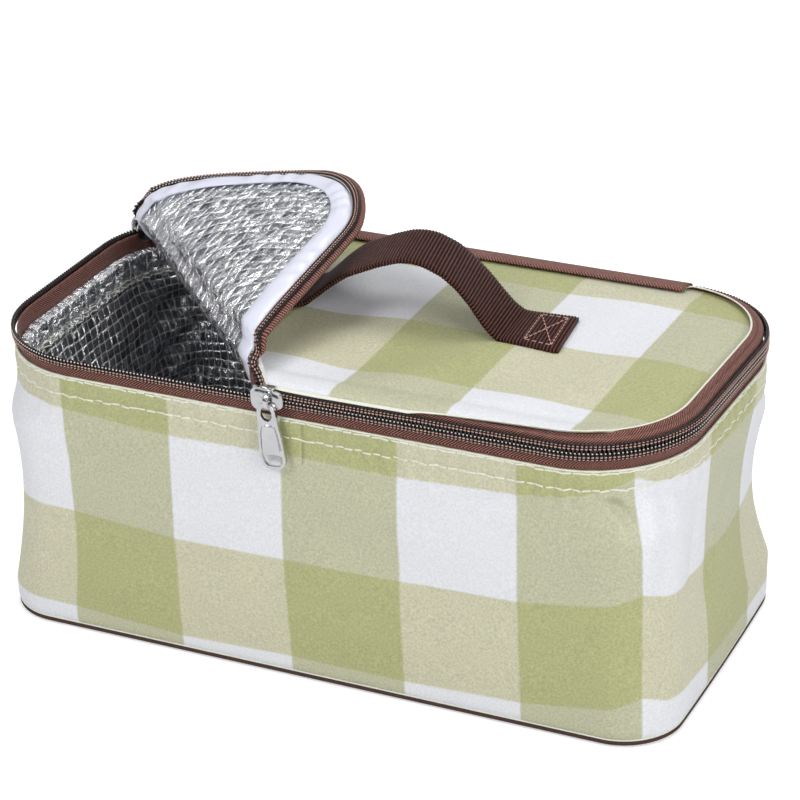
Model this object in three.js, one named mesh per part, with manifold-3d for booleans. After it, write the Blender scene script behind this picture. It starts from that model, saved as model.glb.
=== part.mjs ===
// Insulated gingham picnic bag with a zip lid.
// Millimetres, +Z up. The origin is the middle of the resting base, +X runs along the bag
// to the right and +Y runs to the back, where the lid is hinged.
// The lid is built shut, then its front left corner is folded up and back about the line
// between the two zip sliders, as the bag stands half open.

import * as THREE from 'three';
import { mergeVertices } from 'three/addons/utils/BufferGeometryUtils.js';
import Module from 'manifold-3d';

const wasm = await Module();
wasm.setup();

// Bag
const bagLength = 298;
const bagDepth = 151;
const rimRadius = 45;         // plan radius of the zipped rim and the lid
const bodyRadius = 25;        // plan radius of the body below the hem
const longWallBulge = 2;      // how far the front and back stand out at half height
const rightFallsIn = 14;      // the slack right end falls in towards its rear corner
const leftFallsIn = 7;
const footFallsIn = 0.35;     // share of the right end's fall that is left at the foot
const endZone = 75;           // how much of each end takes part in its fall
const hemTop = 117;           // upper edge of the check fabric on the body
const rimBand = 10;           // the rim's own radius holds this far below the hem's edge
const shoulderDepth = 20;     // below that the body turns from one radius to the other
const stiffFoot = 12;         // the base holds the walls straight up to here

// Walls and base, outside to inside
const fabricThickness = 1;
const foamThickness = 3.5;
const liningThickness = 0.8;
const gap = 0.3;              // clearance between pieces that touch
const baseThickness = 1.2;
const baseFoamThickness = 3;
const pipingRadius = 1.4;
const liningHemDepth = 13;
const seamStripWidth = 6;

// Zip
const tapeThickness = 0.6;
const tapeSewnDepth = 8;      // tape hidden behind the body fabric
const coilWidth = 3.5;        // one side of the chain, across the chain
const coilDepth = 2;
const tapeShow = 4.5;         // tape that shows between the body fabric and the chain
const toothPitch = 4;
const toothHeight = 1.4;

// Lid
const lidRise = 0.5;          // of the lid's fabric over the chain
const lidFoamThickness = 2.8;
const lidBorderWidth = 9;
const bindingThickness = 0.8;
const bindingTopWidth = 7;
const bindingUnderWidth = 5;

// Folded corner: where the sliders stand, and how far the corner is folded
const frontSliderX = -13;
const rearSliderAngle = 34;   // degrees round the rear left corner from the left side
const foldAngle = 150;
const foldAxisRise = 2.5;     // of the fold's axis over the middle of the chain
const cornerEndRoom = 8.6;    // the corner's sheets end this far along the fold from each slider
const cornerSwell = 13;       // the folded corner's lining and padding belly out past the fold
const swellFull = 8;          // distance from the fold at which they have bellied out
const swellEnd = 75;          // distance from the fold at which they lie flat again
const swellEdge = 16;         // width of the slope from the border of the lid to the full swell

// Sliders and pulls
const sliderLength = 14;
const plateThickness = 1.3;
const flangeThickness = 1;
const crownWidth = 1.8;
const crownThickness = 1.3;
const crownReach = 3.8;
const curveRoom = 0.9;        // room inside a slider for the curve of the zip at the corners
const pullLength = 28;
const pullBarRadius = 0.9;    // of the bar that runs through the crown
const pullBarBelow = 0.7;     // from the middle of the bar down to the eye
const pullTopWidth = 7.8;
const pullBottomWidth = 11;
const pullThickness = 1.4;
const pullEyeWidth = 4.8;
const pullEyeLength = 6.6;
const pullTilt = 6;           // degrees, the loose pulls hang a little aslant
const rearPullLean = 9;       // degrees, the rear pull lies out over the corner of the body

// Handle
const strapWidth = 31;
const strapThickness = 1.8;
const strapTabLength = 25;
const strapSpan = 82;         // between the sewn tabs
const strapRise = 29;
const strapLean = 2;
const strapCentreX = 11;
const strapCentreY = 7;

// Hinge tape along the back of the lid
const hingeTapeTopWidth = 8;
const hingeTapeDrop = 14;

const straightSteps = 6;
const cornerSteps = 6;

// Insets are measured inwards from the outer face of the body fabric at the rim
const tapeInset = fabricThickness + gap + 0.1;
const coilInset = tapeInset - gap - coilDepth;
const foamInset = fabricThickness + gap;
const foamTopInset = tapeInset + tapeThickness + gap;
const liningInset = foamInset + foamThickness + gap;
const sliderInnerInset = tapeInset + tapeThickness + gap + curveRoom;
const bindingInset = sliderInnerInset + plateThickness + gap;
const lidEdgeInset = bindingInset + bindingThickness + gap;
const zipHeight = hemTop + tapeShow + coilWidth;
const lidFabricTop = zipHeight + coilWidth + lidRise;
const foldAxisHeight = zipHeight + foldAxisRise;
const foamTop = hemTop - 2 * gap;
const wallBottom = 2 * pipingRadius + 3 * gap;
const baseFoamBottom = baseThickness + gap;
const liningBottom = baseFoamBottom + baseFoamThickness + gap;

const fabric = material('#c3c48f', 0.7);
const foil = material('#c9ccd2', 0.25, 0.85);
const foam = material('#f2f2ee', 0.9);
const white = material('#e9eaf3', 0.5);
const brown = material('#5a2f26', 0.85);
const darkBrown = material('#2c1713', 0.6);
const nickel = material('#d3d5d8', 0.2, 1);

function material(color, roughness, metalness = 0) {
  return new THREE.MeshStandardMaterial({ color, roughness, metalness });
}

function radians(degrees) {
  return THREE.MathUtils.degToRad(degrees);
}

// Plan outlines

// Levels at which the walls bend. Between them every wall runs straight, so that the layers
// keep their distance from each other
const rimFoot = hemTop - rimBand;
const shoulder = rimFoot - shoulderDepth;
const upperShare = [0.25, 0.5, 0.75].map((share) => THREE.MathUtils.lerp(stiffFoot, shoulder, share));
const wallLevels = [0, stiffFoot, ...upperShare, shoulder, (shoulder + rimFoot) / 2, rimFoot];

function levelled(z, valueAt) {
  const above = wallLevels.findIndex((level) => level >= z);
  if (above <= 0) return valueAt(z);
  const [low, high] = [wallLevels[above - 1], wallLevels[above]];
  return THREE.MathUtils.lerp(valueAt(low), valueAt(high), (z - low) / (high - low));
}

function cornerRadiusAt(z) {
  return levelled(z, (level) => (
    THREE.MathUtils.lerp(bodyRadius, rimRadius, THREE.MathUtils.smoothstep(level, shoulder, rimFoot))));
}

// How free the walls are at height z: not at all at the foot and the rim, and most between.
// The foot's own share fades out towards the rim
function freedomAt(z, footShare = 0) {
  return levelled(z, (level) => {
    const share = THREE.MathUtils.clamp((level - stiffFoot) / (rimFoot - stiffFoot), 0, 1);
    return Math.max(Math.sin(Math.PI * share), footShare * (1 - share));
  });
}

// The ends of the soft body fall in
function fallIn(point, z) {
  const zoneStart = bagLength / 2 - endZone;
  const nearEnd = THREE.MathUtils.smoothstep(Math.abs(point.x), zoneStart, bagLength / 2);
  if (point.x < 0) {
    point.x += leftFallsIn * nearEnd * freedomAt(z);
  } else {
    const toRear = THREE.MathUtils.clamp(point.y / bagDepth + 0.5, 0, 1);
    point.x -= rightFallsIn * nearEnd * toRear ** 2 * freedomAt(z, footFallsIn);
  }
}

// Closed outline of the bag at height z, moved inwards by inset: always the same number of
// points in the same order, so that rings at different insets and heights join up
function outline(inset, z) {
  const radius = Math.max(cornerRadiusAt(z) - inset, 1);
  const halfX = bagLength / 2 - inset;
  const halfY = bagDepth / 2 - inset;
  const points = [];
  const corners = [[1, -1], [1, 1], [-1, 1], [-1, -1]];
  corners.forEach(([sideX, sideY], index) => {
    const centre = new THREE.Vector2(sideX * (halfX - radius), sideY * (halfY - radius));
    for (let step = 0; step <= cornerSteps; step += 1) {
      const angle = radians(-90 + 90 * index + (90 * step) / cornerSteps);
      points.push(new THREE.Vector2(Math.cos(angle), Math.sin(angle)).multiplyScalar(radius).add(centre));
    }
    const [nextX, nextY] = corners[(index + 1) % corners.length];
    const from = points[points.length - 1];
    const angle = radians(90 * index);
    const outward = new THREE.Vector2(Math.cos(angle), Math.sin(angle));
    const to = new THREE.Vector2(nextX * (halfX - radius), nextY * (halfY - radius));
    to.addScaledVector(outward, radius);
    const standsOut = index % 2 === 0 ? 0 : longWallBulge;
    for (let step = 1; step < straightSteps; step += 1) {
      const share = step / straightSteps;
      const bulge = standsOut * freedomAt(z) * Math.sin(Math.PI * share);
      points.push(from.clone().lerp(to, share).addScaledVector(outward, bulge));
    }
  });
  points.forEach((point) => fallIn(point, z));
  return points;
}

// The zip's line round the rim, from the rear left corner over the front to the rear right
// corner. At a distance along it, the point at the rim and the outward direction there.
const sideRun = bagDepth - 2 * rimRadius;
const frontRun = bagLength - 2 * rimRadius;
const quarterArc = (Math.PI / 2) * rimRadius;
const zipLength = 4 * quarterArc + 2 * sideRun + frontRun;
const arcX = bagLength / 2 - rimRadius;
const arcY = bagDepth / 2 - rimRadius;

function zipPoint(distance) {
  const parts = [
    { arc: true, length: quarterArc, centre: [-arcX, arcY], start: 90 },
    { arc: false, length: sideRun, from: [-bagLength / 2, arcY], start: 180 },
    { arc: true, length: quarterArc, centre: [-arcX, -arcY], start: 180 },
    { arc: false, length: frontRun, from: [-arcX, -bagDepth / 2], start: 270 },
    { arc: true, length: quarterArc, centre: [arcX, -arcY], start: 270 },
    { arc: false, length: sideRun, from: [bagLength / 2, -arcY], start: 360 },
    { arc: true, length: quarterArc, centre: [arcX, arcY], start: 360 },
  ];
  let rest = THREE.MathUtils.clamp(distance, 0, zipLength);
  let index = 0;
  while (index < parts.length - 1 && rest > parts[index].length) {
    rest -= parts[index].length;
    index += 1;
  }
  const part = parts[index];
  const angle = radians(part.start) + (part.arc ? rest / rimRadius : 0);
  const outward = new THREE.Vector2(Math.cos(angle), Math.sin(angle));
  const point = part.arc
    ? new THREE.Vector2(...part.centre).addScaledVector(outward, rimRadius)
    : new THREE.Vector2(...part.from).addScaledVector(new THREE.Vector2(-outward.y, outward.x), rest);
  return { point, outward };
}

function zipBreaks(from, to) {
  const arcStep = quarterArc / cornerSteps;
  const breaks = [from];
  const runs = [quarterArc, sideRun, quarterArc, frontRun, quarterArc, sideRun, quarterArc];
  let start = 0;
  runs.forEach((run, index) => {
    const steps = index % 2 === 0 ? Math.round(run / arcStep) : 1;
    for (let step = 0; step < steps; step += 1) {
      const distance = start + (run * step) / steps;
      if (distance > from + 0.5 && distance < to - 0.5) breaks.push(distance);
    }
    start += run;
  });
  breaks.push(to);
  return breaks;
}

// Solids

// Rings of matching points become one closed skin, capped at both ends or joined end to end.
// The diagonals of the faces all climb the same way, so that nested skins stay parallel
function skin(rings, closed) {
  const count = rings[0].length;
  const positions = rings.flat().flatMap((point) => [point.x, point.y, point.z]);
  const indices = [];
  const spans = closed ? rings.length : rings.length - 1;
  for (let ring = 0; ring < spans; ring += 1) {
    const next = ((ring + 1) % rings.length) * count;
    for (let point = 0; point < count; point += 1) {
      const after = (point + 1) % count;
      const [a, b, c, d] = [ring * count + point, ring * count + after, next + after, next + point];
      const [from, to] = [rings[ring][point], rings[ring][after]];
      const level = Math.abs(to.z - from.z) < 1e-6;
      const climbs = level ? to.x >= from.x : to.z > from.z;
      indices.push(...(climbs ? [a, b, c, a, c, d] : [a, b, d, b, c, d]));
    }
  }
  if (!closed) {
    const last = (rings.length - 1) * count;
    for (const [first, second, third] of capTriangles(rings[0])) {
      indices.push(third, second, first, last + first, last + second, last + third);
    }
  }
  const geometry = new THREE.BufferGeometry();
  geometry.setAttribute('position', new THREE.Float32BufferAttribute(positions, 3));
  geometry.setIndex(indices);
  return facingOut(geometry);
}

function capTriangles(ring) {
  const along = ring[1].clone().sub(ring[0]).normalize();
  const normal = new THREE.Vector3();
  ring.forEach((point, index) => {
    normal.add(point.clone().cross(ring[(index + 1) % ring.length]));
  });
  const across = normal.normalize().clone().cross(along);
  const flat = ring.map((point) => new THREE.Vector2(point.dot(along), point.dot(across)));
  return THREE.ShapeUtils.triangulateShape(flat, []);
}

function facingOut(geometry) {
  const position = geometry.getAttribute('position');
  const index = geometry.getIndex().array;
  const [a, b, c] = [new THREE.Vector3(), new THREE.Vector3(), new THREE.Vector3()];
  let volume = 0;
  for (let i = 0; i < index.length; i += 3) {
    a.fromBufferAttribute(position, index[i]);
    b.fromBufferAttribute(position, index[i + 1]);
    c.fromBufferAttribute(position, index[i + 2]);
    volume += a.dot(b.cross(c));
  }
  if (volume < 0) {
    for (let i = 0; i < index.length; i += 3) {
      [index[i], index[i + 1]] = [index[i + 1], index[i]];
    }
  }
  return geometry;
}

// A closed section of [inset, z] points, with a point added wherever it passes a wall level
function bentSection(section) {
  return section.flatMap((point, index) => {
    const [nextInset, nextZ] = section[(index + 1) % section.length];
    const [inset, z] = point;
    const passed = wallLevels.filter((level) => (level - z) * (level - nextZ) < 0);
    if (nextZ < z) passed.reverse();
    return [point, ...passed.map((level) => (
      [THREE.MathUtils.lerp(inset, nextInset, (level - z) / (nextZ - z)), level]))];
  });
}

// A section of [inset, z] points carried all round the bag
function ringSolid(section) {
  const loops = bentSection(section).map(([inset, z]) => (
    outline(inset, z).map((point) => new THREE.Vector3(point.x, point.y, z))));
  const rings = loops[0].map((_, index) => loops.map((loop) => loop[index]));
  return skin(rings, true);
}

// A flat panel that fills the outline
function panelSolid(inset, bottom, thickness) {
  const shape = new THREE.Shape(outline(inset, bottom));
  const geometry = new THREE.ExtrudeGeometry(shape, { depth: thickness, bevelEnabled: false });
  return geometry.translate(0, 0, bottom);
}

function railRing(section, distance) {
  const { point, outward } = zipPoint(distance);
  return section.map(([inset, z]) => (
    new THREE.Vector3(point.x - outward.x * inset, point.y - outward.y * inset, z)));
}

// A section of [inset, z] points carried along the zip's line
function railSolid(section, from, to) {
  return skin(zipBreaks(from, to).map((distance) => railRing(section, distance)), false);
}

// One side of the zip chain: a bar whose inner edge is a row of teeth, in step with the
// teeth of the other side and a clearance away from them
function chainSolid(upper, from, to) {
  const outer = coilInset;
  const inner = coilInset + coilDepth;
  const far = upper ? zipHeight + coilWidth : zipHeight - coilWidth;
  const clearance = upper ? gap : -gap;
  const rings = [];
  const halfPitch = toothPitch / 2;
  const first = Math.ceil(from / halfPitch);
  const last = Math.floor(to / halfPitch);
  for (let half = first; half <= last; half += 1) {
    const peak = half % 2 === 0 ? toothHeight / 2 : -toothHeight / 2;
    const edge = zipHeight + peak + clearance;
    rings.push(railRing([[outer, far], [inner, far], [inner, edge], [outer, edge]], half * halfPitch));
  }
  return skin(rings, false);
}

function toManifold(geometry) {
  const bare = geometry.clone();
  bare.deleteAttribute('normal');
  bare.deleteAttribute('uv');
  const merged = mergeVertices(bare, 1e-4);
  return new wasm.Manifold(new wasm.Mesh({
    numProp: 3,
    vertProperties: new Float32Array(merged.getAttribute('position').array),
    triVerts: new Uint32Array(merged.getIndex().array),
  }));
}

function toGeometry(solid) {
  const mesh = solid.getMesh();
  const geometry = new THREE.BufferGeometry();
  geometry.setAttribute('position', new THREE.Float32BufferAttribute(mesh.vertProperties, 3));
  geometry.setIndex(Array.from(mesh.triVerts));
  return geometry;
}

function cut(geometry, ...tools) {
  return toGeometry(tools.reduce((solid, tool) => solid.subtract(toManifold(tool)), toManifold(geometry)));
}

function join(first, ...others) {
  return toGeometry(others.reduce((solid, other) => solid.add(toManifold(other)), toManifold(first)));
}

function mesh(name, geometry, look) {
  const bare = geometry.index ? geometry.toNonIndexed() : geometry.clone();
  bare.computeVertexNormals();
  const result = new THREE.Mesh(bare, look);
  result.name = name;
  return result;
}

function boxSolid(lowX, highX, lowY, highY, lowZ, highZ) {
  const geometry = new THREE.BoxGeometry(highX - lowX, highY - lowY, highZ - lowZ);
  return geometry.translate((lowX + highX) / 2, (lowY + highY) / 2, (lowZ + highZ) / 2);
}

const bag = new THREE.Group();

// Body of the bag

function wallSection(inset, thickness, bottom, top) {
  return [[inset, bottom], [inset, top], [inset + thickness, top], [inset + thickness, bottom]];
}

function bodyParts() {
  const wall = ringSolid(wallSection(0, fabricThickness, wallBottom, hemTop));
  const base = panelSolid(2 * pipingRadius + gap, 0, baseThickness);
  const pipe = [];
  for (let side = 0; side < 8; side += 1) {
    const angle = radians(22.5 + 45 * side);
    pipe.push([
      pipingRadius * (1 - Math.cos(angle)),
      pipingRadius * (1 + Math.sin(angle)) + gap,
    ]);
  }
  const foamStep = hemTop - tapeSewnDepth - 2;
  const liningTop = foamTop - liningThickness - gap;
  const wallFoam = ringSolid([
    [foamInset, wallBottom],
    [foamInset, foamStep - 2],
    [foamTopInset, foamStep],
    [foamTopInset, liningTop],
    [foamInset + foamThickness, liningTop],
    [foamInset + foamThickness, wallBottom],
  ]);
  const hemInset = liningInset + liningThickness + gap;
  const liningHemFoot = foamTop - liningHemDepth;
  const lining = ringSolid(wallSection(liningInset, liningThickness, liningBottom, liningTop));
  const hem = ringSolid([
    [hemInset, liningHemFoot],
    [hemInset, foamTop - liningThickness],
    [foamTopInset, foamTop - liningThickness],
    [foamTopInset, foamTop],
    [hemInset + liningThickness, foamTop],
    [hemInset + liningThickness, liningHemFoot],
  ]);
  const baseFoam = panelSolid(liningInset, baseFoamBottom, baseFoamThickness);
  const baseLining = panelSolid(liningInset + liningThickness + gap, liningBottom, liningThickness);
  const stripY = outline(hemInset, liningHemFoot).reduce((most, point) => Math.max(most, point.y), 0);
  const stripFoot = liningBottom + liningThickness + gap;
  const stripX = -arcX + seamStripWidth;
  const strip = boxSolid(
    stripX - seamStripWidth / 2,
    stripX + seamStripWidth / 2,
    bagDepth / 2 - hemInset - liningThickness,
    Math.min(stripY, bagDepth / 2 - hemInset),
    stripFoot,
    liningHemFoot - gap,
  );
  return [
    mesh('outer_wall', wall, fabric),
    mesh('outer_base', base, fabric),
    mesh('bottom_piping', ringSolid(pipe), darkBrown),
    mesh('wall_foam', wallFoam, foam),
    mesh('base_foam', baseFoam, foam),
    mesh('wall_lining', lining, foil),
    mesh('base_lining', baseLining, foil),
    mesh('lining_hem', hem, foil),
    mesh('lining_seam_strip', strip, white),
  ];
}

bag.add(...bodyParts());

// Zip tape and chain on the body
const bodyTape = [
  [tapeInset, hemTop - tapeSewnDepth],
  [tapeInset, zipHeight - toothHeight],
  [tapeInset + tapeThickness, zipHeight - toothHeight],
  [tapeInset + tapeThickness, hemTop - tapeSewnDepth],
];
bag.add(mesh('body_zip_tape', railSolid(bodyTape, 0, zipLength), brown));
bag.add(mesh('body_zip_chain', chainSolid(false, 0, zipLength), darkBrown));

// Lid, built shut and whole, then cut along the fold

const lidPanelThickness = fabricThickness;
const lidFoamTop = lidFabricTop - lidPanelThickness - gap;
const lidLiningTop = lidFoamTop - lidFoamThickness - gap;
const lidUnder = lidLiningTop - liningThickness;
const bindingTop = lidFabricTop + gap + bindingThickness;
const lidInset = lidEdgeInset + gap;

const lidSheets = {
  panel: {
    geometry: panelSolid(lidEdgeInset, lidFabricTop - lidPanelThickness, lidPanelThickness),
    look: fabric,
  },
  foam: {
    geometry: panelSolid(lidInset, lidFoamTop - lidFoamThickness, lidFoamThickness),
    look: foam,
  },
  lining: {
    geometry: panelSolid(lidInset + lidBorderWidth + gap, lidUnder, liningThickness),
    look: foil,
  },
  border: {
    geometry: ringSolid([
      [lidInset, lidUnder],
      [lidInset, lidLiningTop],
      [lidInset + lidBorderWidth, lidLiningTop],
      [lidInset + lidBorderWidth, lidUnder],
    ]),
    look: white,
  },
  binding: {
    geometry: ringSolid([
      [bindingInset, lidUnder - gap - bindingThickness],
      [bindingInset, bindingTop],
      [bindingInset + bindingTopWidth, bindingTop],
      [bindingInset + bindingTopWidth, lidFabricTop + gap],
      [bindingInset + bindingThickness, lidFabricTop + gap],
      [bindingInset + bindingThickness, lidUnder - gap],
      [bindingInset + bindingUnderWidth, lidUnder - gap],
      [bindingInset + bindingUnderWidth, lidUnder - gap - bindingThickness],
    ]),
    look: brown,
  },
};

// The fold runs between the two sliders
const frontSliderAt = quarterArc + sideRun + quarterArc + (frontSliderX + arcX);
const rearSliderAt = radians(90 - rearSliderAngle) * rimRadius;
const frontFoldPoint = zipPoint(frontSliderAt).point;
const rearFoldPoint = zipPoint(rearSliderAt).point;
const foldLine = rearFoldPoint.clone().sub(frontFoldPoint).normalize();
const foldAcross = new THREE.Vector3(-foldLine.y, foldLine.x, 0);
const foldAxis = new THREE.Vector3(foldLine.x, foldLine.y, 0);
const foldPivot = new THREE.Vector3(frontFoldPoint.x, frontFoldPoint.y, foldAxisHeight);
const foldFrame = new THREE.Matrix4().makeBasis(foldAcross, new THREE.Vector3(0, 0, 1), foldAxis);
const toolReach = bagLength + bagDepth;

// A long prism along the fold from a profile of [distance from the fold, height over the
// axis], where distances to the folded corner's side are positive
function foldPrism(profile) {
  const shape = new THREE.Shape(profile.map((point) => new THREE.Vector2(...point)));
  const geometry = new THREE.ExtrudeGeometry(shape, { depth: 2 * toolReach, bevelEnabled: false });
  geometry.translate(0, 0, -toolReach);
  return geometry.applyMatrix4(foldFrame.clone().setPosition(foldPivot));
}

// Both sides are mitred, so that the folded corner lies back clear of the lid
const mitre = radians((180 - foldAngle) / 2 - 1);
const mitreRise = toolReach * Math.tan(mitre);
const awayFromLid = foldPrism([
  [-gap / 2, -toolReach],
  [toolReach, -toolReach],
  [toolReach, toolReach],
  [-toolReach, toolReach],
  [-toolReach, mitreRise],
  [-gap / 2, 0],
]);
const awayFromCorner = foldPrism([
  [gap / 2, -toolReach],
  [-toolReach, -toolReach],
  [-toolReach, toolReach],
  [toolReach, toolReach],
  [toolReach, mitreRise],
  [gap / 2, 0],
]);
// The corner's sheets have blunt ends, clear of the sliders while the corner turns
const foldLength = rearFoldPoint.distanceTo(frontFoldPoint);
const beyondCornerEnds = [-toolReach, foldLength - cornerEndRoom].map((start) => {
  const depth = toolReach + cornerEndRoom;
  const slab = new THREE.BoxGeometry(2 * toolReach, 2 * toolReach, depth);
  slab.translate(0, 0, start + depth / 2);
  return slab.applyMatrix4(foldFrame.clone().setPosition(foldPivot));
});
const aboveLidChain = foldPrism([
  [-toolReach, mitreRise],
  [-gap, -gap],
  [toolReach, -gap],
  [toolReach, toolReach],
  [-toolReach, toolReach],
]);

const lidTape = [
  [tapeInset, zipHeight + toothHeight],
  [tapeInset, bindingTop - tapeThickness / 2],
  [bindingInset - gap, bindingTop - tapeThickness / 2],
  [bindingInset - gap, bindingTop - tapeThickness * 1.5],
  [tapeInset + tapeThickness, bindingTop - tapeThickness * 1.5],
  [tapeInset + tapeThickness, zipHeight + toothHeight],
];

// The lid's chain and tape stop inside each slider, behind its post, and the corner's start
// again past the slider's mouth
const postThickness = 2;
const chainStop = sliderLength / 2 - postThickness - 2 * gap;
const chainRestart = sliderLength / 2 + 2 * gap;
const lidRuns = [[0, rearSliderAt + chainStop], [frontSliderAt - chainStop, zipLength]];
const cornerRun = [rearSliderAt + chainRestart, frontSliderAt - chainRestart];

function lidParts() {
  const parts = Object.entries(lidSheets).map(([name, sheet]) => (
    mesh(`lid_${name}`, cut(sheet.geometry, awayFromLid), sheet.look)));
  lidRuns.forEach(([from, to], index) => {
    const side = index === 0 ? 'rear' : 'front';
    parts.push(mesh(`lid_zip_tape_${side}`, cut(railSolid(lidTape, from, to), aboveLidChain), brown));
    parts.push(mesh(`lid_zip_chain_${side}`, cut(chainSolid(true, from, to), aboveLidChain), darkBrown));
  });
  return parts;
}

bag.add(...lidParts());

// Where the lid's outline at an inset crosses the line at a distance from the fold, as
// distances along the fold
function spanAcross(inset, distance) {
  const across = new THREE.Vector2(foldAcross.x, foldAcross.y);
  const loop = outline(inset, lidFabricTop).map((point) => {
    const offset = point.sub(frontFoldPoint);
    return new THREE.Vector2(offset.dot(across), offset.dot(foldLine));
  });
  const crossings = [];
  loop.forEach((point, index) => {
    const next = loop[(index + 1) % loop.length];
    const share = (distance - point.x) / (next.x - point.x);
    if (share >= 0 && share < 1) crossings.push(THREE.MathUtils.lerp(point.y, next.y, share));
  });
  return [Math.min(...crossings), Math.max(...crossings)];
}

// How deep a point of the lid lies inside the rim
function depthInside(x, y) {
  const overX = Math.abs(x) - arcX;
  const overY = Math.abs(y) - arcY;
  const outside = Math.hypot(Math.max(overX, 0), Math.max(overY, 0));
  return rimRadius - outside - Math.min(Math.max(overX, overY), 0);
}

// The swollen lining, or the padding on it, from a flat top to a bellied underside: rows
// along the fold, which follow the lining's outline
function swollenSheet(topAt, underAt) {
  const liningEdge = lidInset + lidBorderWidth + gap;
  const cornerPoint = new THREE.Vector2(-bagLength / 2, -bagDepth / 2).sub(frontFoldPoint);
  const farthest = cornerPoint.dot(new THREE.Vector2(foldAcross.x, foldAcross.y));
  const reach = farthest - (rimRadius - liningEdge) * (Math.SQRT2 - 1) - liningEdge * Math.SQRT2;
  const rows = [gap, 0.3 * swellFull, 0.6 * swellFull, swellFull, 2 * swellFull, 3 * swellFull];
  const spread = [0.45, 0.6, 0.75, 0.87, 0.95, 0.985].map((share) => share * reach);
  const columns = 12;
  const rings = [...rows, ...spread].map((distance) => {
    const [from, to] = spanAcross(liningEdge, distance);
    const row = [];
    for (let column = 0; column <= columns; column += 1) {
      const along = THREE.MathUtils.lerp(from, to, column / columns);
      const plan = frontFoldPoint.clone().addScaledVector(foldLine, along);
      plan.x += foldAcross.x * distance;
      plan.y += foldAcross.y * distance;
      const inside = depthInside(plan.x, plan.y);
      const swell = cornerSwell
        * THREE.MathUtils.smoothstep(distance, 0, swellFull)
        * (1 - THREE.MathUtils.smoothstep(distance, swellFull, swellEnd))
        * THREE.MathUtils.smoothstep(inside, liningEdge, liningEdge + swellEdge);
      row.push({ plan, swell });
    }
    const side = (heightAt) => row.map(({ plan, swell }) => (
      new THREE.Vector3(plan.x, plan.y, heightAt(swell))));
    return [...side(topAt), ...side(underAt).reverse()];
  });
  return skin(rings, false);
}

// Folded corner of the lid
const foldedCorner = new THREE.Group();
foldedCorner.position.copy(foldPivot);
foldedCorner.quaternion.setFromAxisAngle(foldAxis, radians(foldAngle));

function cornerParts() {
  const [from, to] = cornerRun;
  const sheets = Object.entries(lidSheets).map(([name, sheet]) => (
    [name, cut(sheet.geometry, ...beyondCornerEnds), sheet.look]));
  const lining = swollenSheet(
    (swell) => lidLiningTop - swell,
    (swell) => lidUnder - swell,
  );
  const padding = swollenSheet(
    () => lidFoamTop - lidFoamThickness / 2,
    (swell) => lidLiningTop + gap - swell,
  );
  const named = new Map(sheets.map((sheet) => [sheet[0], sheet]));
  named.get('lining')[1] = lining;
  named.get('foam')[1] = join(named.get('foam')[1], padding);
  sheets.push(['zip_tape', railSolid(lidTape, from, to), brown]);
  sheets.push(['zip_chain', chainSolid(true, from, to), darkBrown]);
  return sheets.map(([name, geometry, look]) => {
    const piece = cut(geometry, awayFromCorner);
    piece.translate(-foldPivot.x, -foldPivot.y, -foldPivot.z);
    return mesh(`corner_${name}`, piece, look);
  });
}

foldedCorner.add(...cornerParts());
bag.add(foldedCorner);

// Hinge tape over the back edge
const hingeOuter = [
  [-gap - bindingThickness, zipHeight - hingeTapeDrop],
  [-gap - bindingThickness, bindingTop + gap + bindingThickness],
  [bindingInset + hingeTapeTopWidth, bindingTop + gap + bindingThickness],
  [bindingInset + hingeTapeTopWidth, bindingTop + gap],
  [-gap, bindingTop + gap],
  [-gap, zipHeight - hingeTapeDrop],
];
const hingeShape = new THREE.Shape(hingeOuter.map(([inset, z]) => (
  new THREE.Vector2(bagDepth / 2 - inset, z))));
const hingeTape = new THREE.ExtrudeGeometry(hingeShape, { depth: 2 * (arcX - gap), bevelEnabled: false });
hingeTape.applyMatrix4(new THREE.Matrix4().makeBasis(
  new THREE.Vector3(0, 1, 0),
  new THREE.Vector3(0, 0, 1),
  new THREE.Vector3(1, 0, 0),
));
hingeTape.translate(-arcX + gap, 0, 0);
bag.add(mesh('hinge_tape', hingeTape, brown));

// Handle strap: sewn tabs on the lid and an arch that leans a little to the right
function handleStrap() {
  const seatZ = lidFabricTop + gap + strapThickness / 2;
  const line = [new THREE.Vector2(strapCentreX + strapSpan / 2 + strapTabLength, seatZ)];
  const archSteps = 18;
  for (let step = 0; step <= archSteps; step += 1) {
    const turn = (Math.PI * step) / archSteps;
    const fullness = turn < Math.PI / 2 ? 1.6 : 2.2;
    line.push(new THREE.Vector2(
      strapCentreX + (strapSpan / 2) * Math.cos(turn) + strapLean * Math.sin(turn),
      seatZ + strapRise * Math.sin(turn) ** fullness,
    ));
  }
  line.push(new THREE.Vector2(strapCentreX - strapSpan / 2 - strapTabLength, seatZ));
  const side = (sign) => line.map((point, index) => {
    const before = line[Math.max(index - 1, 0)];
    const after = line[Math.min(index + 1, line.length - 1)];
    const along = after.clone().sub(before).normalize();
    const across = new THREE.Vector2(along.y, -along.x);
    return point.clone().addScaledVector(across, (sign * strapThickness) / 2);
  });
  const shape = new THREE.Shape(side(1).concat(side(-1).reverse()));
  const geometry = new THREE.ExtrudeGeometry(shape, { depth: strapWidth, bevelEnabled: false });
  geometry.applyMatrix4(new THREE.Matrix4().makeRotationX(Math.PI / 2));
  return geometry.translate(0, strapCentreY + strapWidth / 2, 0);
}

bag.add(mesh('handle_strap', handleStrap(), brown));

// Zip sliders. In a slider's own frame +X runs along the zip to the side that is done up,
// -Y is outwards and Z is up, with the origin on the rim at the middle of the chain.
const plateFace = coilInset - gap;
const crownFace = plateFace - plateThickness;
const plateHalfHeight = coilWidth + gap + flangeThickness + 0.5;
const crownHalfHeight = 4.2;
const pivotInset = crownFace - (crownReach - crownThickness) / 2;
const pivotDrop = crownHalfHeight - crownThickness - gap - pullBarRadius;

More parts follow.
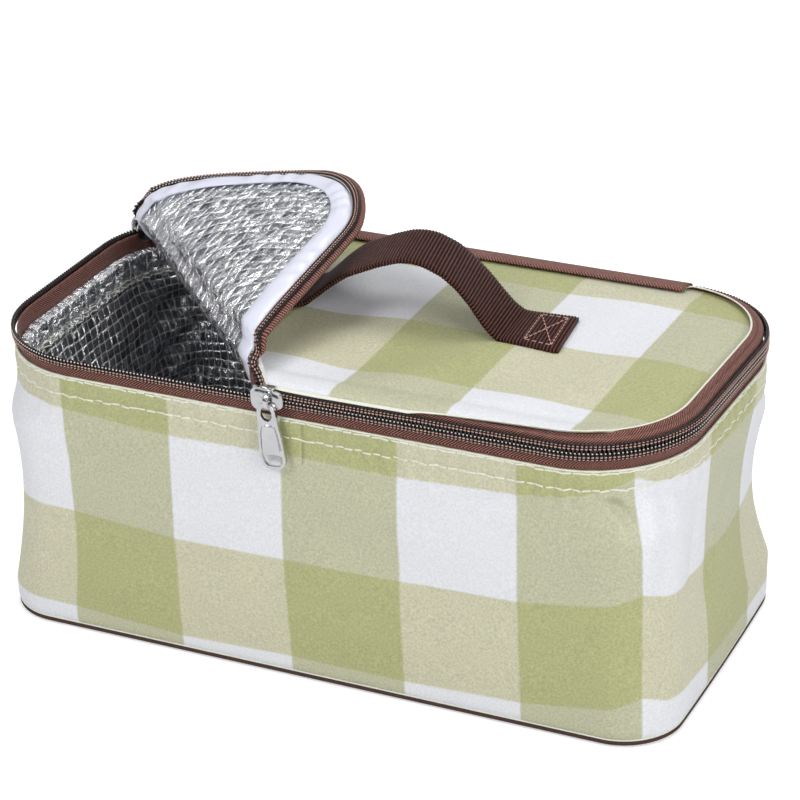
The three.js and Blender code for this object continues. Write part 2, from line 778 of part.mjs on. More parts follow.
function shield(inset, thickness) {
  const half = sliderLength / 2;
  const shape = new THREE.Shape();
  shape.moveTo(half, 0.7 * plateHalfHeight);
  shape.quadraticCurveTo(0, 0.8 * plateHalfHeight, -0.25 * half, plateHalfHeight);
  shape.lineTo(-0.6 * half, plateHalfHeight);
  shape.quadraticCurveTo(-half, 0.9 * plateHalfHeight, -half, 0.4 * plateHalfHeight);
  shape.lineTo(-half, -0.4 * plateHalfHeight);
  shape.quadraticCurveTo(-half, -0.9 * plateHalfHeight, -0.6 * half, -plateHalfHeight);
  shape.lineTo(-0.25 * half, -plateHalfHeight);
  shape.quadraticCurveTo(0, -0.8 * plateHalfHeight, half, -0.7 * plateHalfHeight);
  const steps = { bevelEnabled: false, curveSegments: 4 };
  const geometry = new THREE.ExtrudeGeometry(shape, { depth: thickness, ...steps });
  geometry.rotateX(Math.PI / 2);
  return geometry.translate(0, inset + thickness, 0);
}

function sliderBody() {
  const half = sliderLength / 2;
  const innerHalfHeight = bindingTop - tapeThickness * 1.5 - gap - zipHeight;
  const innerPlate = cut(
    shield(sliderInnerInset, plateThickness),
    boxSolid(-half - 1, half + 1, 0, 2 * bindingInset, innerHalfHeight, 2 * plateHalfHeight),
  );
  const flangeIn = tapeInset - gap;
  const flangeFoot = coilWidth + gap + 0.2;
  const flange = (sign) => boxSolid(
    -0.6 * half,
    half,
    plateFace - plateThickness / 2,
    flangeIn,
    Math.min(sign * flangeFoot, sign * plateHalfHeight * 0.97),
    Math.max(sign * flangeFoot, sign * plateHalfHeight * 0.97),
  );
  const post = boxSolid(
    -half,
    -half + postThickness,
    plateFace - plateThickness / 2,
    sliderInnerInset + plateThickness / 2,
    toothHeight / 2 + 2 * gap,
    0.4 * plateHalfHeight + toothHeight / 2,
  );
  const crownOuter = boxSolid(
    -crownWidth / 2,
    crownWidth / 2,
    crownFace - crownReach,
    crownFace + plateThickness / 2,
    -crownHalfHeight,
    crownHalfHeight,
  );
  const crownHole = boxSolid(
    -crownWidth,
    crownWidth,
    crownFace - crownReach + crownThickness,
    crownFace,
    -crownHalfHeight + crownThickness,
    crownHalfHeight - crownThickness,
  );
  const crown = cut(crownOuter, crownHole);
  return join(shield(crownFace, plateThickness), innerPlate, flange(1), flange(-1), post, crown);
}

// Pull, hanging from its pivot bar at the origin: a tapered tab with an eye round the crown,
// a sunk middle and a slot at the foot
function pullBody() {
  const top = pullBarRadius;
  const foot = top - pullLength;
  const halfTop = pullTopWidth / 2;
  const halfFoot = pullBottomWidth / 2;
  const shape = new THREE.Shape();
  shape.moveTo(-halfTop, -1);
  shape.quadraticCurveTo(-halfTop, top, 0, top);
  shape.quadraticCurveTo(halfTop, top, halfTop, -1);
  shape.lineTo(halfFoot, foot + 4);
  shape.quadraticCurveTo(halfFoot, foot, 0, foot);
  shape.quadraticCurveTo(-halfFoot, foot, -halfFoot, foot + 4);
  const slot = new THREE.Path();
  const slotHalf = 0.68 * halfFoot;
  slot.moveTo(-slotHalf, foot + 5.2);
  slot.quadraticCurveTo(-slotHalf, foot + 1.5, 0, foot + 1.5);
  slot.quadraticCurveTo(slotHalf, foot + 1.5, slotHalf, foot + 5.2);
  shape.holes.push(slot);
  const steps = { bevelEnabled: false, curveSegments: 5 };
  const tab = new THREE.ExtrudeGeometry(shape, { depth: pullThickness, ...steps });
  tab.rotateX(Math.PI / 2);
  tab.translate(0, pullThickness / 2, 0);
  const eyeTop = -pullBarBelow;
  const eye = boxSolid(-pullEyeWidth / 2, pullEyeWidth / 2, -5, 5, eyeTop - pullEyeLength, eyeTop);
  const sunk = boxSolid(-2.6, 2.6, -5, -pullThickness / 2 + 0.35, foot + 7, eyeTop - pullEyeLength - 1.4);
  return cut(tab, eye, sunk);
}

// The rear slider does up the other way, so it is the mirror image
function sliderGroup(name, distance, mirrored, lean) {
  const { point, outward } = zipPoint(distance);
  const group = new THREE.Group();
  group.position.set(point.x, point.y, zipHeight);
  group.rotation.z = Math.atan2(outward.x, -outward.y);
  const geometry = sliderBody();
  if (mirrored) {
    geometry.scale(-1, 1, 1);
    facingOut(geometry);
  }
  const pull = mesh(`${name}_pull`, pullBody(), nickel);
  pull.position.set(0, pivotInset, -pivotDrop);
  pull.rotation.set(radians(-lean), radians(-pullTilt), 0);
  group.add(mesh(`${name}_slider`, geometry, nickel), pull);
  return group;
}

bag.add(sliderGroup('front', frontSliderAt, false, 0));
bag.add(sliderGroup('rear', rearSliderAt, true, rearPullLean));

export default bag;
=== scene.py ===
import math
import bpy
import bmesh
import numpy as np
from mathutils import Matrix, Vector


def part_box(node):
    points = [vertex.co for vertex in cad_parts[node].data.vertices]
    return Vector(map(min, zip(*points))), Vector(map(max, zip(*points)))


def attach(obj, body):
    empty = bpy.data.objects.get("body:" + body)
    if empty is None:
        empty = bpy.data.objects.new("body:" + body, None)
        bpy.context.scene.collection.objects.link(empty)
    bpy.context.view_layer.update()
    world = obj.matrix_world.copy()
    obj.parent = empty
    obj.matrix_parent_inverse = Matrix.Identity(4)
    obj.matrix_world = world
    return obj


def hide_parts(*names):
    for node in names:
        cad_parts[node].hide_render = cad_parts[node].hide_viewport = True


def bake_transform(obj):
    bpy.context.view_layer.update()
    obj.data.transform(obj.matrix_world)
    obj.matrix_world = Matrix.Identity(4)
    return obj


# Soft picnic cool bag: check cloth, foil lining, a zip round three sides of the lid whose front
# left corner is peeled back, and a webbing handle. Sizes are in millimetres until a mesh is made.
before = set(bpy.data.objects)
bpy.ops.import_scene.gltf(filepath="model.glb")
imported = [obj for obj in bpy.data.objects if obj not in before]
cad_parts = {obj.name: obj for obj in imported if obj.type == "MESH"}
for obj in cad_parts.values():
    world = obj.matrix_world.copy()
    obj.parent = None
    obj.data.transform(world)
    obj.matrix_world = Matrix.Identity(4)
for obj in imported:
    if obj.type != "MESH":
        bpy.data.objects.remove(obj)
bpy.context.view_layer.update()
mm = 0.001

bag = dict(length=298.0, depth=151.0, rimRadius=45.0, bodyRadius=25.0, hemTop=117.0,
           zipHeight=125.0, lidTop=129.0, shoulder=87.0, rimFoot=107.0, stiffFoot=12.0,
           rightFallsIn=14.0, leftFallsIn=7.0, footFallsIn=0.35, endZone=75.0,
           bulge=2.0, bulgeHalf=124, wander=0.8, wanderSizes=(90, 60))
check = dict(size=50.0, frontStart=-109.3, rowPitch=45.6, lidX=12.0, lidY=46.1,
             lidPitchX=49.3, lidPitchY=47.6)
seeds = dict(wall=3, pucker=5, puckerDepth=6, lining=9, flap=17, flapFine=19, hem=21,
             liningFolds=31, hemFolds=33)
view = dict(focal=144.75, place=(529.6, -1052.4, 668.3), turn=(1.994, 0.432, -0.3132))
lamps = [("keyLight", (-0.7, -1.5, 1.7), (0, 0, 0.06), 0.9, 16.5),
         ("fillLight", (1.6, -0.9, 1.1), (0, 0, 0.06), 1.1, 17.0),
         ("topLight", (0.1, 0.5, 1.9), (0, 0, 0.1), 1.2, 12.0)]
studio = dict(sky=(0.96, 0.975, 1, 1), ambient=0.42, boxes=3.0, contrast=8.0, middle=0.58,
              gap=0.06)
floorLook = dict(grey=0.86, rough=0.9, glow=0.45)


# An output of a node. + - * / between outputs and numbers make maths nodes.
class Output:
    def __init__(self, tree, socket):
        self.tree, self.socket = tree, socket

    def __add__(self, other):
        return self.tree.maths("ADD", self, other)

    def __sub__(self, other):
        return self.tree.maths("SUBTRACT", self, other)

    def __rsub__(self, other):
        return self.tree.maths("SUBTRACT", other, self)

    def __mul__(self, other):
        return self.tree.maths("MULTIPLY", self, other)

    def __truediv__(self, other):
        return self.tree.maths("DIVIDE", self, other)

    __radd__, __rmul__ = __add__, __mul__


# Short words for building node trees
class Tree:
    def __init__(self, tree):
        self.tree = tree

    def node(self, kind, **settings):
        made = self.tree.nodes.new(kind if kind.startswith("Node") else "ShaderNode" + kind)
        for name, value in settings.items():
            setattr(made, name, value)
        return made

    def fill(self, node, values):
        for name, value in values.items():
            if isinstance(value, Output):
                self.tree.links.new(value.socket, node.inputs[name])
            else:
                node.inputs[name].default_value = value

    def make(self, kind, values, out=0, **settings):
        made = self.node(kind, **settings)
        self.fill(made, values)
        return Output(self, made.outputs[out])

    def outputs(self, node):
        return {socket.name: Output(self, socket) for socket in node.outputs}

    def use(self, group, **values):
        made = self.node("Group", node_tree=group)
        self.fill(made, values)
        return self.outputs(made)

    def maths(self, operation, first, second=0.0, clamp=False):
        return self.make("Math", {0: first, 1: second}, operation=operation, use_clamp=clamp)

    def split(self, vector):
        made = self.node("SeparateXYZ")
        self.fill(made, {0: vector})
        return list(self.outputs(made).values())

    def mix(self, share, first, second):
        return self.make("Mix", {0: share, 6: first, 7: second}, 2, data_type="RGBA")

    def noise(self, vector, scale, detail=3.0, rough=0.5):
        return self.make("TexNoise", dict(Vector=vector, Scale=scale, Detail=detail,
                                          Roughness=rough))

    def wave(self, value, pitch):
        return self.maths("SINE", value * (2 * math.pi / pitch))

    def flat(self):
        return self.make("UVMap", {}, uv_map="flat")

    def place(self):
        return self.make("TexCoord", {}, "Object")

    def bump(self, shader, height, strength, distance):
        raised = self.make("Bump", dict(Strength=strength, Distance=distance, Height=height))
        self.fill(shader, dict(Normal=raised))


def addObject(name, data):
    made = bpy.data.objects.new(name, data)
    bpy.context.scene.collection.objects.link(made)
    return made


def makeCamera():
    axis = Vector(view["turn"])
    turn = Matrix.Rotation(axis.length, 3, axis)
    right, down, ahead = turn.row[0], turn.row[1], turn.row[2]
    camera = addObject("camera", bpy.data.cameras.new("camera"))
    camera.data.lens = view["focal"]
    camera.data.sensor_width = 36
    camera.data.clip_end = 20
    pose = Matrix((right, -down, -ahead)).transposed().to_4x4()
    pose.translation = Vector(view["place"]) * mm
    camera.matrix_world = pose
    bpy.context.scene.camera = camera


def areaLight(name, place, target, size, power):
    lamp = bpy.data.lights.new(name, "AREA")
    lamp.shape = "DISK"
    lamp.size = size
    lamp.energy = power
    holder = addObject(name, lamp)
    holder.location = place
    holder.rotation_euler = (Vector(target) - Vector(place)).to_track_quat("-Z", "Y").to_euler()


# A white room to the eye. Metal sees soft boxes with darker gaps between them.
def makeStudio():
    scene = bpy.context.scene
    scene.view_settings.view_transform = "Standard"
    world = bpy.data.worlds.new("studio")
    scene.world = world
    world.use_nodes = True
    world.node_tree.nodes.clear()
    tree = Tree(world.node_tree)
    rays = tree.outputs(tree.node("LightPath"))
    shiny = tree.maths("MAXIMUM", rays["Is Glossy Ray"], rays["Is Transmission Ray"])
    boxes = tree.noise(tree.make("TexCoord", {}, "Generated"), studio["boxes"], 0.0)
    lit = (boxes - 0.5) * studio["contrast"] + studio["middle"]
    lit = tree.maths("MAXIMUM", lit, studio["gap"])
    ambient = tree.make("Background", dict(Color=studio["sky"], Strength=studio["ambient"]))
    room = tree.make("Background", dict(Strength=tree.maths("MINIMUM", lit, 1.0)))
    backdrop = tree.make("Background", dict(Strength=1))
    around = tree.make("MixShader", {0: shiny, 1: ambient, 2: room})
    seen = tree.make("MixShader", {0: rays["Is Camera Ray"], 1: around, 2: backdrop})
    tree.fill(tree.node("OutputWorld"), {0: seen})
    for lamp in lamps:
        areaLight(*lamp)


def meshFrom(name, bm):
    mesh = bpy.data.meshes.new(name)
    bm.to_mesh(mesh)
    bm.free()
    return mesh


def makeFloor():
    bm = bmesh.new()
    bmesh.ops.create_grid(bm, x_segments=1, y_segments=1, size=6)
    floor = addObject("floor", meshFrom("floor", bm))
    material, tree, shader = startMaterial("paleFloor", floorLook["rough"])
    seen = tree.outputs(tree.node("LightPath"))["Is Camera Ray"]
    tree.fill(shader, {"Base Color": (*[floorLook["grey"]] * 3, 1), "Emission Color": (1, 1, 1, 1),
                       "Emission Strength": seen * floorLook["glow"]})
    floor.data.materials.append(material)


def rgb(*values):
    shares = [value / 255 for value in values]
    return (*[share / 12.92 if share <= 0.04045 else ((share + 0.055) / 1.055) ** 2.4
              for share in shares], 1)


# An input without a number is a vector
def nodeGroup(name, inputs, outputs):
    group = bpy.data.node_groups.new(name, "ShaderNodeTree")
    for label, value in inputs.items():
        kind = "NodeSocketVector" if value is None else "NodeSocketFloat"
        socket = group.interface.new_socket(name=label, in_out="INPUT", socket_type=kind)
        if value is not None:
            socket.default_value = value
    for label in outputs:
        group.interface.new_socket(name=label, in_out="OUTPUT", socket_type="NodeSocketFloat")
    tree = Tree(group)
    return group, tree, tree.outputs(tree.node("NodeGroupInput")), tree.node("NodeGroupOutput")


# Fine uneven grain of satin cloth: a shade near 1 and a height
def speckleGroup():
    group, tree, given, out = nodeGroup("satinGrain", dict(Vector=None, Amount=0.06),
                                        ("Shade", "Height"))
    fine = tree.noise(given["Vector"], 1100, 2, 0.6)
    cloudy = tree.noise(given["Vector"], 60, 3, 0.5)
    uneven = (fine - 0.5) + (cloudy - 0.5) * 0.1
    tree.fill(out, dict(Shade=1.0 + uneven * given["Amount"], Height=fine))
    return group


# Herringbone of narrow woven tape, from millimetres along and across it
def tapeGroup():
    group, tree, given, out = nodeGroup("herringbone", dict(Vector=None, Rib=0.9, Band=2.4),
                                        ("Thread",))
    along, across = tree.split(given["Vector"])[:2]
    share = tree.maths("FRACT", across / given["Band"])
    folded = tree.maths("ABSOLUTE", share - 0.5)
    slanted = along + folded * (given["Band"] * 1.3)
    ribs = tree.maths("SINE", slanted / given["Rib"] * (2 * math.pi))
    tree.fill(out, dict(Thread=0.5 + ribs * 0.5))
    return group


# Embossed cells of bubble foil, each tipped its own way: a height, the ridges, and a tone per cell
def foilGroup():
    group, tree, given, out = nodeGroup(
        "foilCells", dict(Vector=None, Cell=4.2, Tilt=1.0, Pillow=0.5, Facets=0.0),
        ("Height", "Ridge", "Tone"))
    places = [part / given["Cell"] for part in tree.split(given["Vector"])[:2]]
    corner = tree.make("CombineXYZ", {k: tree.maths("FLOOR", places[k]) for k in (0, 1)})
    chance = tree.make("TexWhiteNoise", dict(Vector=corner), "Color", noise_dimensions="3D")
    draws = tree.split(chance)
    inCell = [tree.maths("FRACT", place) - 0.5 for place in places]
    swell = [1.0 - tree.maths("POWER", tree.maths("ABSOLUTE", part * 2.0), 4.0) for part in inCell]
    pillow = swell[0] * swell[1]
    slopes = [(draws[k] - 0.5) * inCell[k] for k in (0, 1)]
    peak = tree.maths("MAXIMUM", *[tree.maths("ABSOLUTE", part) for part in inCell])
    height = pillow * given["Pillow"] + (slopes[0] + slopes[1]) * given["Tilt"]
    tree.fill(out, dict(Height=height - peak * given["Facets"], Ridge=1.0 - pillow, Tone=draws[2]))
    return group


def startMaterial(name, roughness, metallic=0.0):
    material = bpy.data.materials.new(name)
    material.use_nodes = True
    tree, shader = Tree(material.node_tree), material.node_tree.nodes["Principled BSDF"]
    tree.fill(shader, dict(Roughness=roughness, Metallic=metallic))
    return material, tree, shader


gingham = dict(white=(225, 226, 230), green=(187, 187, 158), beige=(200, 197, 169),
               olive=(173, 175, 124), sharp=15, grain=0.4, printedGrain=0.4, rumple=38,
               grainHeight=0.05, bump=0.3, depth=0.0012)


def ginghamMaterial():
    material, tree, shader = startMaterial("checkCloth", 0.5)
    white, green, beige, olive = (rgb(*gingham[name])
                                  for name in ("white", "green", "beige", "olive"))
    waves = [tree.wave(part, 2) * gingham["sharp"] for part in tree.split(tree.flat())[:2]]
    greenShare, beigeShare = (tree.maths("ADD", 0.5, wave, clamp=True) for wave in waves)
    colour = tree.mix(beigeShare, tree.mix(greenShare, white, green),
                      tree.mix(greenShare, beige, olive))
    printed = tree.maths("MAXIMUM", greenShare, beigeShare)
    speckle = tree.use(grain, Vector=tree.place(),
                       Amount=gingham["grain"] + printed * gingham["printedGrain"])
    shaded = tree.make("VectorMath", {0: colour, "Scale": speckle["Shade"]}, operation="SCALE")
    tree.fill(shader, {"Base Color": shaded, "Sheen Weight": 0.1, "Sheen Roughness": 0.4})
    rumple = tree.noise(tree.place(), gingham["rumple"], 3, 0.4)
    tree.bump(shader, speckle["Height"] * gingham["grainHeight"] + rumple, gingham["bump"],
              gingham["depth"])
    return material


# Cells tip, swell and have facets; ridges are painted white and duller metal, a painted highlight
# along them; drawn moves cells about
foils = dict(
    # wall copy: darker cells, painted shade for the foil inside the bag
    foil=dict(name="embossedFoil", dark=(128, 130, 136), light=(206, 208, 213),
              ridge=(255, 255, 255), tilt=4.2, pillow=0.8, facets=0.5, crumple=1.3, depth=0.0009,
              shine=0.9, ridgeShare=1.7, dull=0.42, drawn=2.6),
    # flap copy of the same foil: lighter cells, painted light
    flapFoil=dict(name="crumpledFoil", dark=(172, 174, 181), light=(252, 253, 255),
                  ridge=(252, 253, 255), tilt=2.6, pillow=0.4, facets=1.3, crumple=1.3,
                  depth=0.0014, shine=1.0, ridgeShare=0.55, dull=0.8, drawn=1.6),
    # hem copy of the same foil: lightest cells, painted light
    hemFoil=dict(name="hemFoil", dark=(206, 208, 214), light=(250, 251, 254), ridge=(252, 253, 255),
                 tilt=3.0, pillow=0.5, facets=0.8, crumple=1.8, depth=0.0012, shine=0.84,
                 ridgeShare=0.6, dull=0.5, drawn=1.8))


def foilMaterial(rule):
    material, tree, shader = startMaterial(rule["name"], 0.2, 1.0)
    drift = tree.make("TexNoise", dict(Vector=tree.place(), Scale=120), "Color")
    reach = (rule["drawn"], rule["drawn"], 0)
    wander = tree.make("VectorMath", {0: drift, 1: reach, 2: tree.flat()},
                       operation="MULTIPLY_ADD")
    cell = tree.use(cells, Vector=wander, Cell=4.3, Tilt=rule["tilt"], Pillow=rule["pillow"],
                    Facets=rule["facets"])
    colour = tree.mix(cell["Tone"], rgb(*rule["dark"]), rgb(*rule["light"]))
    # ridges get a painted highlight: white base colour and less metal
    thin = tree.maths("POWER", cell["Ridge"], 2.2) * rule["ridgeShare"]
    metallic = tree.maths("SUBTRACT", rule["shine"], thin * rule["dull"], clamp=True)
    tree.fill(shader, {"Base Color": tree.mix(thin, colour, rgb(*rule["ridge"])),
                       "Metallic": metallic})
    crumpled = tree.noise(tree.place(), 420, 3, 0.6) * rule["crumple"]
    tree.bump(shader, cell["Height"] + crumpled, 1.0, rule["depth"])
    return material


def filmMaterial():
    material, tree, shader = startMaterial("whiteFilm", 0.34)
    speckle = tree.use(grain, Vector=tree.place(), Amount=0.05)
    colour = tree.mix(speckle["Shade"], rgb(208, 210, 228), rgb(226, 227, 242))
    tree.fill(shader, {"Base Color": colour, "Coat Weight": 0.15})
    tree.bump(shader, tree.noise(tree.place(), 55, 3), 0.35, 0.0008)
    return material


def tapeMaterial(dark, light, rib, band):
    material, tree, shader = startMaterial("brownTape", 0.62)
    thread = tree.use(herringbone, Vector=tree.flat(), Rib=rib, Band=band)["Thread"]
    # the herringbone is the weave; its threads get the light colour, a painted highlight, and the
    # dark between them is painted shade
    share = tree.maths("POWER", thread, 2.0) * (0.4 + tree.noise(tree.place(), 500, 3, 0.6))
    tree.fill(shader, {"Base Color": tree.mix(share, dark, light), "Specular IOR Level": 0.3,
                       "Sheen Weight": 0.08})
    tree.bump(shader, thread, 0.7, 0.0003)
    return material


# Ribbed webbing: the light colour on the rib crests is a painted highlight, the near-black between
# the ribs painted shade
def webbingMaterial(dark, light):
    material, tree, shader = startMaterial("ribbedWebbing", 0.46)
    along, across = tree.split(tree.flat())[:2]
    ribs = 0.5 + tree.wave(along, handle["rib"]) * 0.5
    threads = 0.5 + tree.wave(across + along * 0.5, 0.9) * 0.5
    mottle = tree.noise(tree.place(), 400, 3, 0.6)
    # crests take the light colour, a painted highlight; between the ribs the dark colour, painted
    # shade
    share = tree.maths("POWER", ribs, 2.4) * (mottle * 0.8 + threads * 0.3)
    tree.fill(shader, {"Base Color": tree.mix(share, dark, light), "Specular IOR Level": 0.2})
    tree.bump(shader, ribs + threads * 0.25, 0.7, 0.0004)
    return material


def plainMaterial(name, first, second, grains, roughness, metallic=0.0, bump=0.2):
    material, tree, shader = startMaterial(name, roughness, metallic)
    mottle = tree.noise(tree.place(), grains, 3, 0.5)
    tree.fill(shader, {"Base Color": tree.mix(mottle, first, second)})
    tree.bump(shader, mottle, bump, 0.0002)
    return material


grain = speckleGroup()
herringbone = tapeGroup()
cells = foilGroup()
handle = dict(width=31.4, thick=1.7, rib=1.45, ribHeight=0.16, middleY=7, turn=7, archTurn=5,
              stitch=(1.9, 0.4, 0.3), stitchPitch=2.6, tabs=((0.02, 0.10), (0.90, 0.975)),
              path=[(-58, 131.0), (-48, 131.0), (-40, 131.4), (-33.8, 133.1), (-22.8, 143.3),
                    (-15.5, 149.0), (-2, 155.4), (7, 158.7), (13, 159.5), (18.5, 159.0),
                    (27, 155.9), (33.5, 151.2), (40, 144.8), (45, 138.5), (49.5, 133.7),
                    (54, 131.0), (61.5, 130.4), (69.6, 130.4), (77.5, 130.4)])
# Each look: its material and the slot it belongs to
looks = dict(
    cloth=(ginghamMaterial(), "check_fabric"),
    **{look: (foilMaterial(rule), "foil") for look, rule in foils.items()},
    film=(filmMaterial(), "white_film"),
    tape=(tapeMaterial(rgb(48, 20, 16), rgb(190, 130, 115), 1.35, 9.0), "brown_tape"),
    # webbing: near-black for the painted shade between ribs, pinkish brown for the painted
    # highlight on their crests
    webbing=(webbingMaterial(rgb(26, 9, 7), rgb(142, 88, 78)), "webbing"))
for look, slot, *rule in (
        ("foam", "foam", "foamPad", (240, 240, 235), (224, 224, 218), 400, 0.9),
        ("coil", "zip_coil", "blackCoil", (20, 14, 13), (40, 28, 25), 300, 0.22),
        # pale blocks on the coil's heads: painted glints
        ("glint", "zip_coil", "coilEnds", (244, 240, 236), (206, 196, 190), 900, 0.25),
        ("piping", "piping", "darkPiping", (40, 22, 19), (80, 50, 42), 900, 0.7),
        ("nickel", "nickel", "brightNickel", (190, 190, 192), (224, 224, 226), 200, 0.13, 1.0, 0.1),
        ("thread", "check_fabric", "creamThread", (240, 240, 228), (222, 221, 205), 1500, 0.7),
        ("brownThread", "zip_coil", "brownThread", (232, 194, 180), (170, 120, 106), 1500, 0.6)):
    looks[look] = (plainMaterial(rule[0], rgb(*rule[1]), rgb(*rule[2]), *rule[3:]), slot)
print("materials made")


def smooth(value):
    value = np.clip(value, 0, 1)
    return value * value * (3 - 2 * value)


# A bump of height 1 round 0
def bell(*parts):
    return np.exp(-sum(part ** 2 for part in parts))


def columns(*parts):
    return np.column_stack(parts)


def unit(vectors):
    return vectors / np.linalg.norm(vectors, axis=-1, keepdims=True)


# The distance run at each point of a line, and values read at places between known ones
def runLengths(points):
    return np.concatenate([[0], np.cumsum(np.linalg.norm(np.diff(points, axis=0), axis=1))])


def readAt(places, known, values):
    return columns(*[np.interp(places, known, column) for column in np.transpose(values)])


# What every item of a mesh says, as rows
def readAll(items, what, size=1, kind=float):
    values = np.empty(len(items) * size, kind)
    items.foreach_get(what, values)
    return values.reshape(-1, size) if size > 1 else values


def link(mesh, look):
    material, slot = looks[look]
    piece = addObject(mesh.name, mesh)
    mesh.materials.append(material)
    return piece


def opened(mesh):
    bm = bmesh.new()
    bm.from_mesh(mesh)
    return bm


def faceOutwards(mesh):
    bm = opened(mesh)
    bmesh.ops.recalc_face_normals(bm, faces=bm.faces)
    bm.to_mesh(mesh)
    bm.free()


# The piece's modifiers become part of its mesh
def settle(piece):
    bpy.context.view_layer.update()
    shaped = piece.evaluated_get(bpy.context.evaluated_depsgraph_get())
    mesh = bpy.data.meshes.new_from_object(shaped)
    piece.modifiers.clear()
    piece.data = mesh
    faceOutwards(mesh)


# A sheet's thickness grows away from its face, or with a minus in front of its face
def thicken(piece, thickness):
    made = piece.modifiers.new("thickness", "SOLIDIFY")
    made.thickness = abs(thickness) * mm
    made.offset = -1 if thickness > 0 else 1
    settle(piece)


# A grid whose points go to place(u, v), in millimetres, with pattern(u, v) as its map
def mappedSheet(name, look, across, along, place, pattern, thickness=0, facingUp=False):
    bm = bmesh.new()
    bmesh.ops.create_grid(bm, x_segments=across, y_segments=along, size=0.5)
    mesh = meshFrom(name, bm)
    u, v = np.clip(readAll(mesh.vertices, "co", 3) + 0.5, 0, 1)[:, :2].T
    mesh.vertices.foreach_set("co", (place(u, v) * mm).ravel())
    corners = readAll(mesh.loops, "vertex_index", kind=int)
    layer = mesh.uv_layers.new(name="flat")
    layer.data.foreach_set("uv", pattern(u, v)[corners].ravel())
    bm = opened(mesh)
    bmesh.ops.remove_doubles(bm, verts=bm.verts, dist=1e-6)
    bmesh.ops.dissolve_degenerate(bm, edges=bm.edges, dist=1e-7)
    if facingUp and sum(face.normal.z * face.calc_area() for face in bm.faces) < 0:
        bmesh.ops.reverse_faces(bm, faces=bm.faces)
    for face in bm.faces:
        face.smooth = True
    bm.to_mesh(mesh)
    bm.free()
    piece = link(mesh, look)
    if thickness:
        thicken(piece, thickness)
    return piece


# The map of a sheet that is so many millimetres long and wide
def flatMap(length, width):
    return lambda u, v: columns(u * length, v * width)


# The body a piece moves with and the solids it stands for. No body: its transform is baked into its
# mesh.
def dress(piece, body, *solids):
    if solids:
        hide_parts(*solids)
    if body:
        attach(piece, body)
    else:
        bendWithLid(piece)
    return piece


# A long narrow strip of cloth: its real length and width, in millimetres, are worked out and not
# used
def strip(piece, length, width, held, restsOn):
    length * mm
    max(width, 10) * mm
    length * width * mm * mm


straightX = bag["length"] / 2 - bag["rimRadius"]      # 104, half of the straight front of the rim
straightY = bag["depth"] / 2 - bag["rimRadius"]       # 30.5
bodyStraight = bag["rimRadius"] - bag["bodyRadius"]   # 20, more straight wall each side below
bodyArc = math.pi / 2 * bag["bodyRadius"]
cornerRun = 2 * bodyStraight + bodyArc
roundLength = 4 * cornerRun + 4 * straightX + 4 * straightY


# A quarter corner in its own frame: from (0, -1) to (1, 0) about the rim's arc centre
def cornerCurve(share, body):
    radius = bag["rimRadius"]
    if not body:
        angle = share * math.pi / 2
        out = columns(np.sin(angle), -np.cos(angle))
        return radius * out, out
    run = share * cornerRun
    angle = np.clip((run - bodyStraight) / bag["bodyRadius"], 0, math.pi / 2)
    x = np.minimum(run, bodyStraight) + bag["bodyRadius"] * np.sin(angle)
    past = np.clip(run - bodyStraight - bodyArc, 0, None)
    y = -radius + bag["bodyRadius"] * (1 - np.cos(angle)) + past
    return columns(x, y), columns(np.sin(angle), -np.cos(angle))


# The bag's outline at a distance round it, u = 0 in the middle of the front, growing to the
# right. rimShare turns the body's tight corners into the rim's wide ones.
def plan(u, rimShare):
    u = np.mod(u + straightX, roundLength)
    lengths = [2 * straightX, cornerRun, 2 * straightY, cornerRun] * 2
    starts = np.cumsum([0] + lengths[:-1])
    index = np.clip(np.searchsorted(starts, u, side="right") - 1, 0, 7)
    local = u - starts[index]
    point, normal = np.zeros((2, len(u), 2))
    quarters = [(-1, -1), (1, -1), (1, 1), (-1, 1)]
    rimShare = np.broadcast_to(rimShare, u.shape)
    for side in range(8):
        chosen = index == side
        if not chosen.any():
            continue
        if side % 2 == 0:
            own = columns(local[chosen], np.full(chosen.sum(), -bag["rimRadius"]))
            out = np.tile([0.0, -1.0], (chosen.sum(), 1))
        else:
            tight, tightOut = cornerCurve(local[chosen] / cornerRun, True)
            wide, wideOut = cornerCurve(local[chosen] / cornerRun, False)
            weight = rimShare[chosen][:, None]
            own = tight * (1 - weight) + wide * weight
            out = unit(tightOut * (1 - weight) + wideOut * weight)
        angle = math.radians(90 * (side // 2))
        turn = np.array([[math.cos(angle), -math.sin(angle)], [math.sin(angle), math.cos(angle)]])
        centre = np.array(quarters[(side + 1) // 2 % 4]) * [straightX, straightY]
        point[chosen] = own @ turn.T + centre
        normal[chosen] = out @ turn.T
    return point, normal


# How freely the wall may move between its stiff foot and the rim
def freedom(z, foot=0.0):
    share = np.clip((z - bag["stiffFoot"]) / (bag["rimFoot"] - bag["stiffFoot"]), 0, 1)
    return np.maximum(np.sin(math.pi * share), foot * (1 - share))


# Smooth wander between -1 and 1 that closes on itself round the bag
def softNoise(u, z, scaleU, scaleZ, seed):
    total = np.zeros_like(u)
    local = np.random.default_rng(seed)
    for _ in range(7):
        turns = local.integers(1, max(2, int(roundLength / scaleU)))
        rise = local.uniform(-1, 1) * 2 * math.pi / scaleZ
        total += np.sin(2 * math.pi * turns * u / roundLength + rise * z + local.uniform(0, 7))
    return total / 3.5


# Sharp-crested folds of a crumpled sheet, between 0 and 1
def crumple(x, y, size, seed):
    local = np.random.default_rng(seed)
    total = np.zeros_like(x)
    for _ in range(5):
        angle, phase = local.uniform(0, math.pi), local.uniform(0, 7)
        pace = math.pi / (size * local.uniform(0.7, 1.5))
        bend = 1.2 * np.sin((x * math.sin(angle) - y * math.cos(angle)) * pace * 0.6 + phase)
        ahead = (x * math.cos(angle) + y * math.sin(angle)) * pace
        total += 1 - np.abs(np.sin(ahead + phase + bend))
    return total / 5


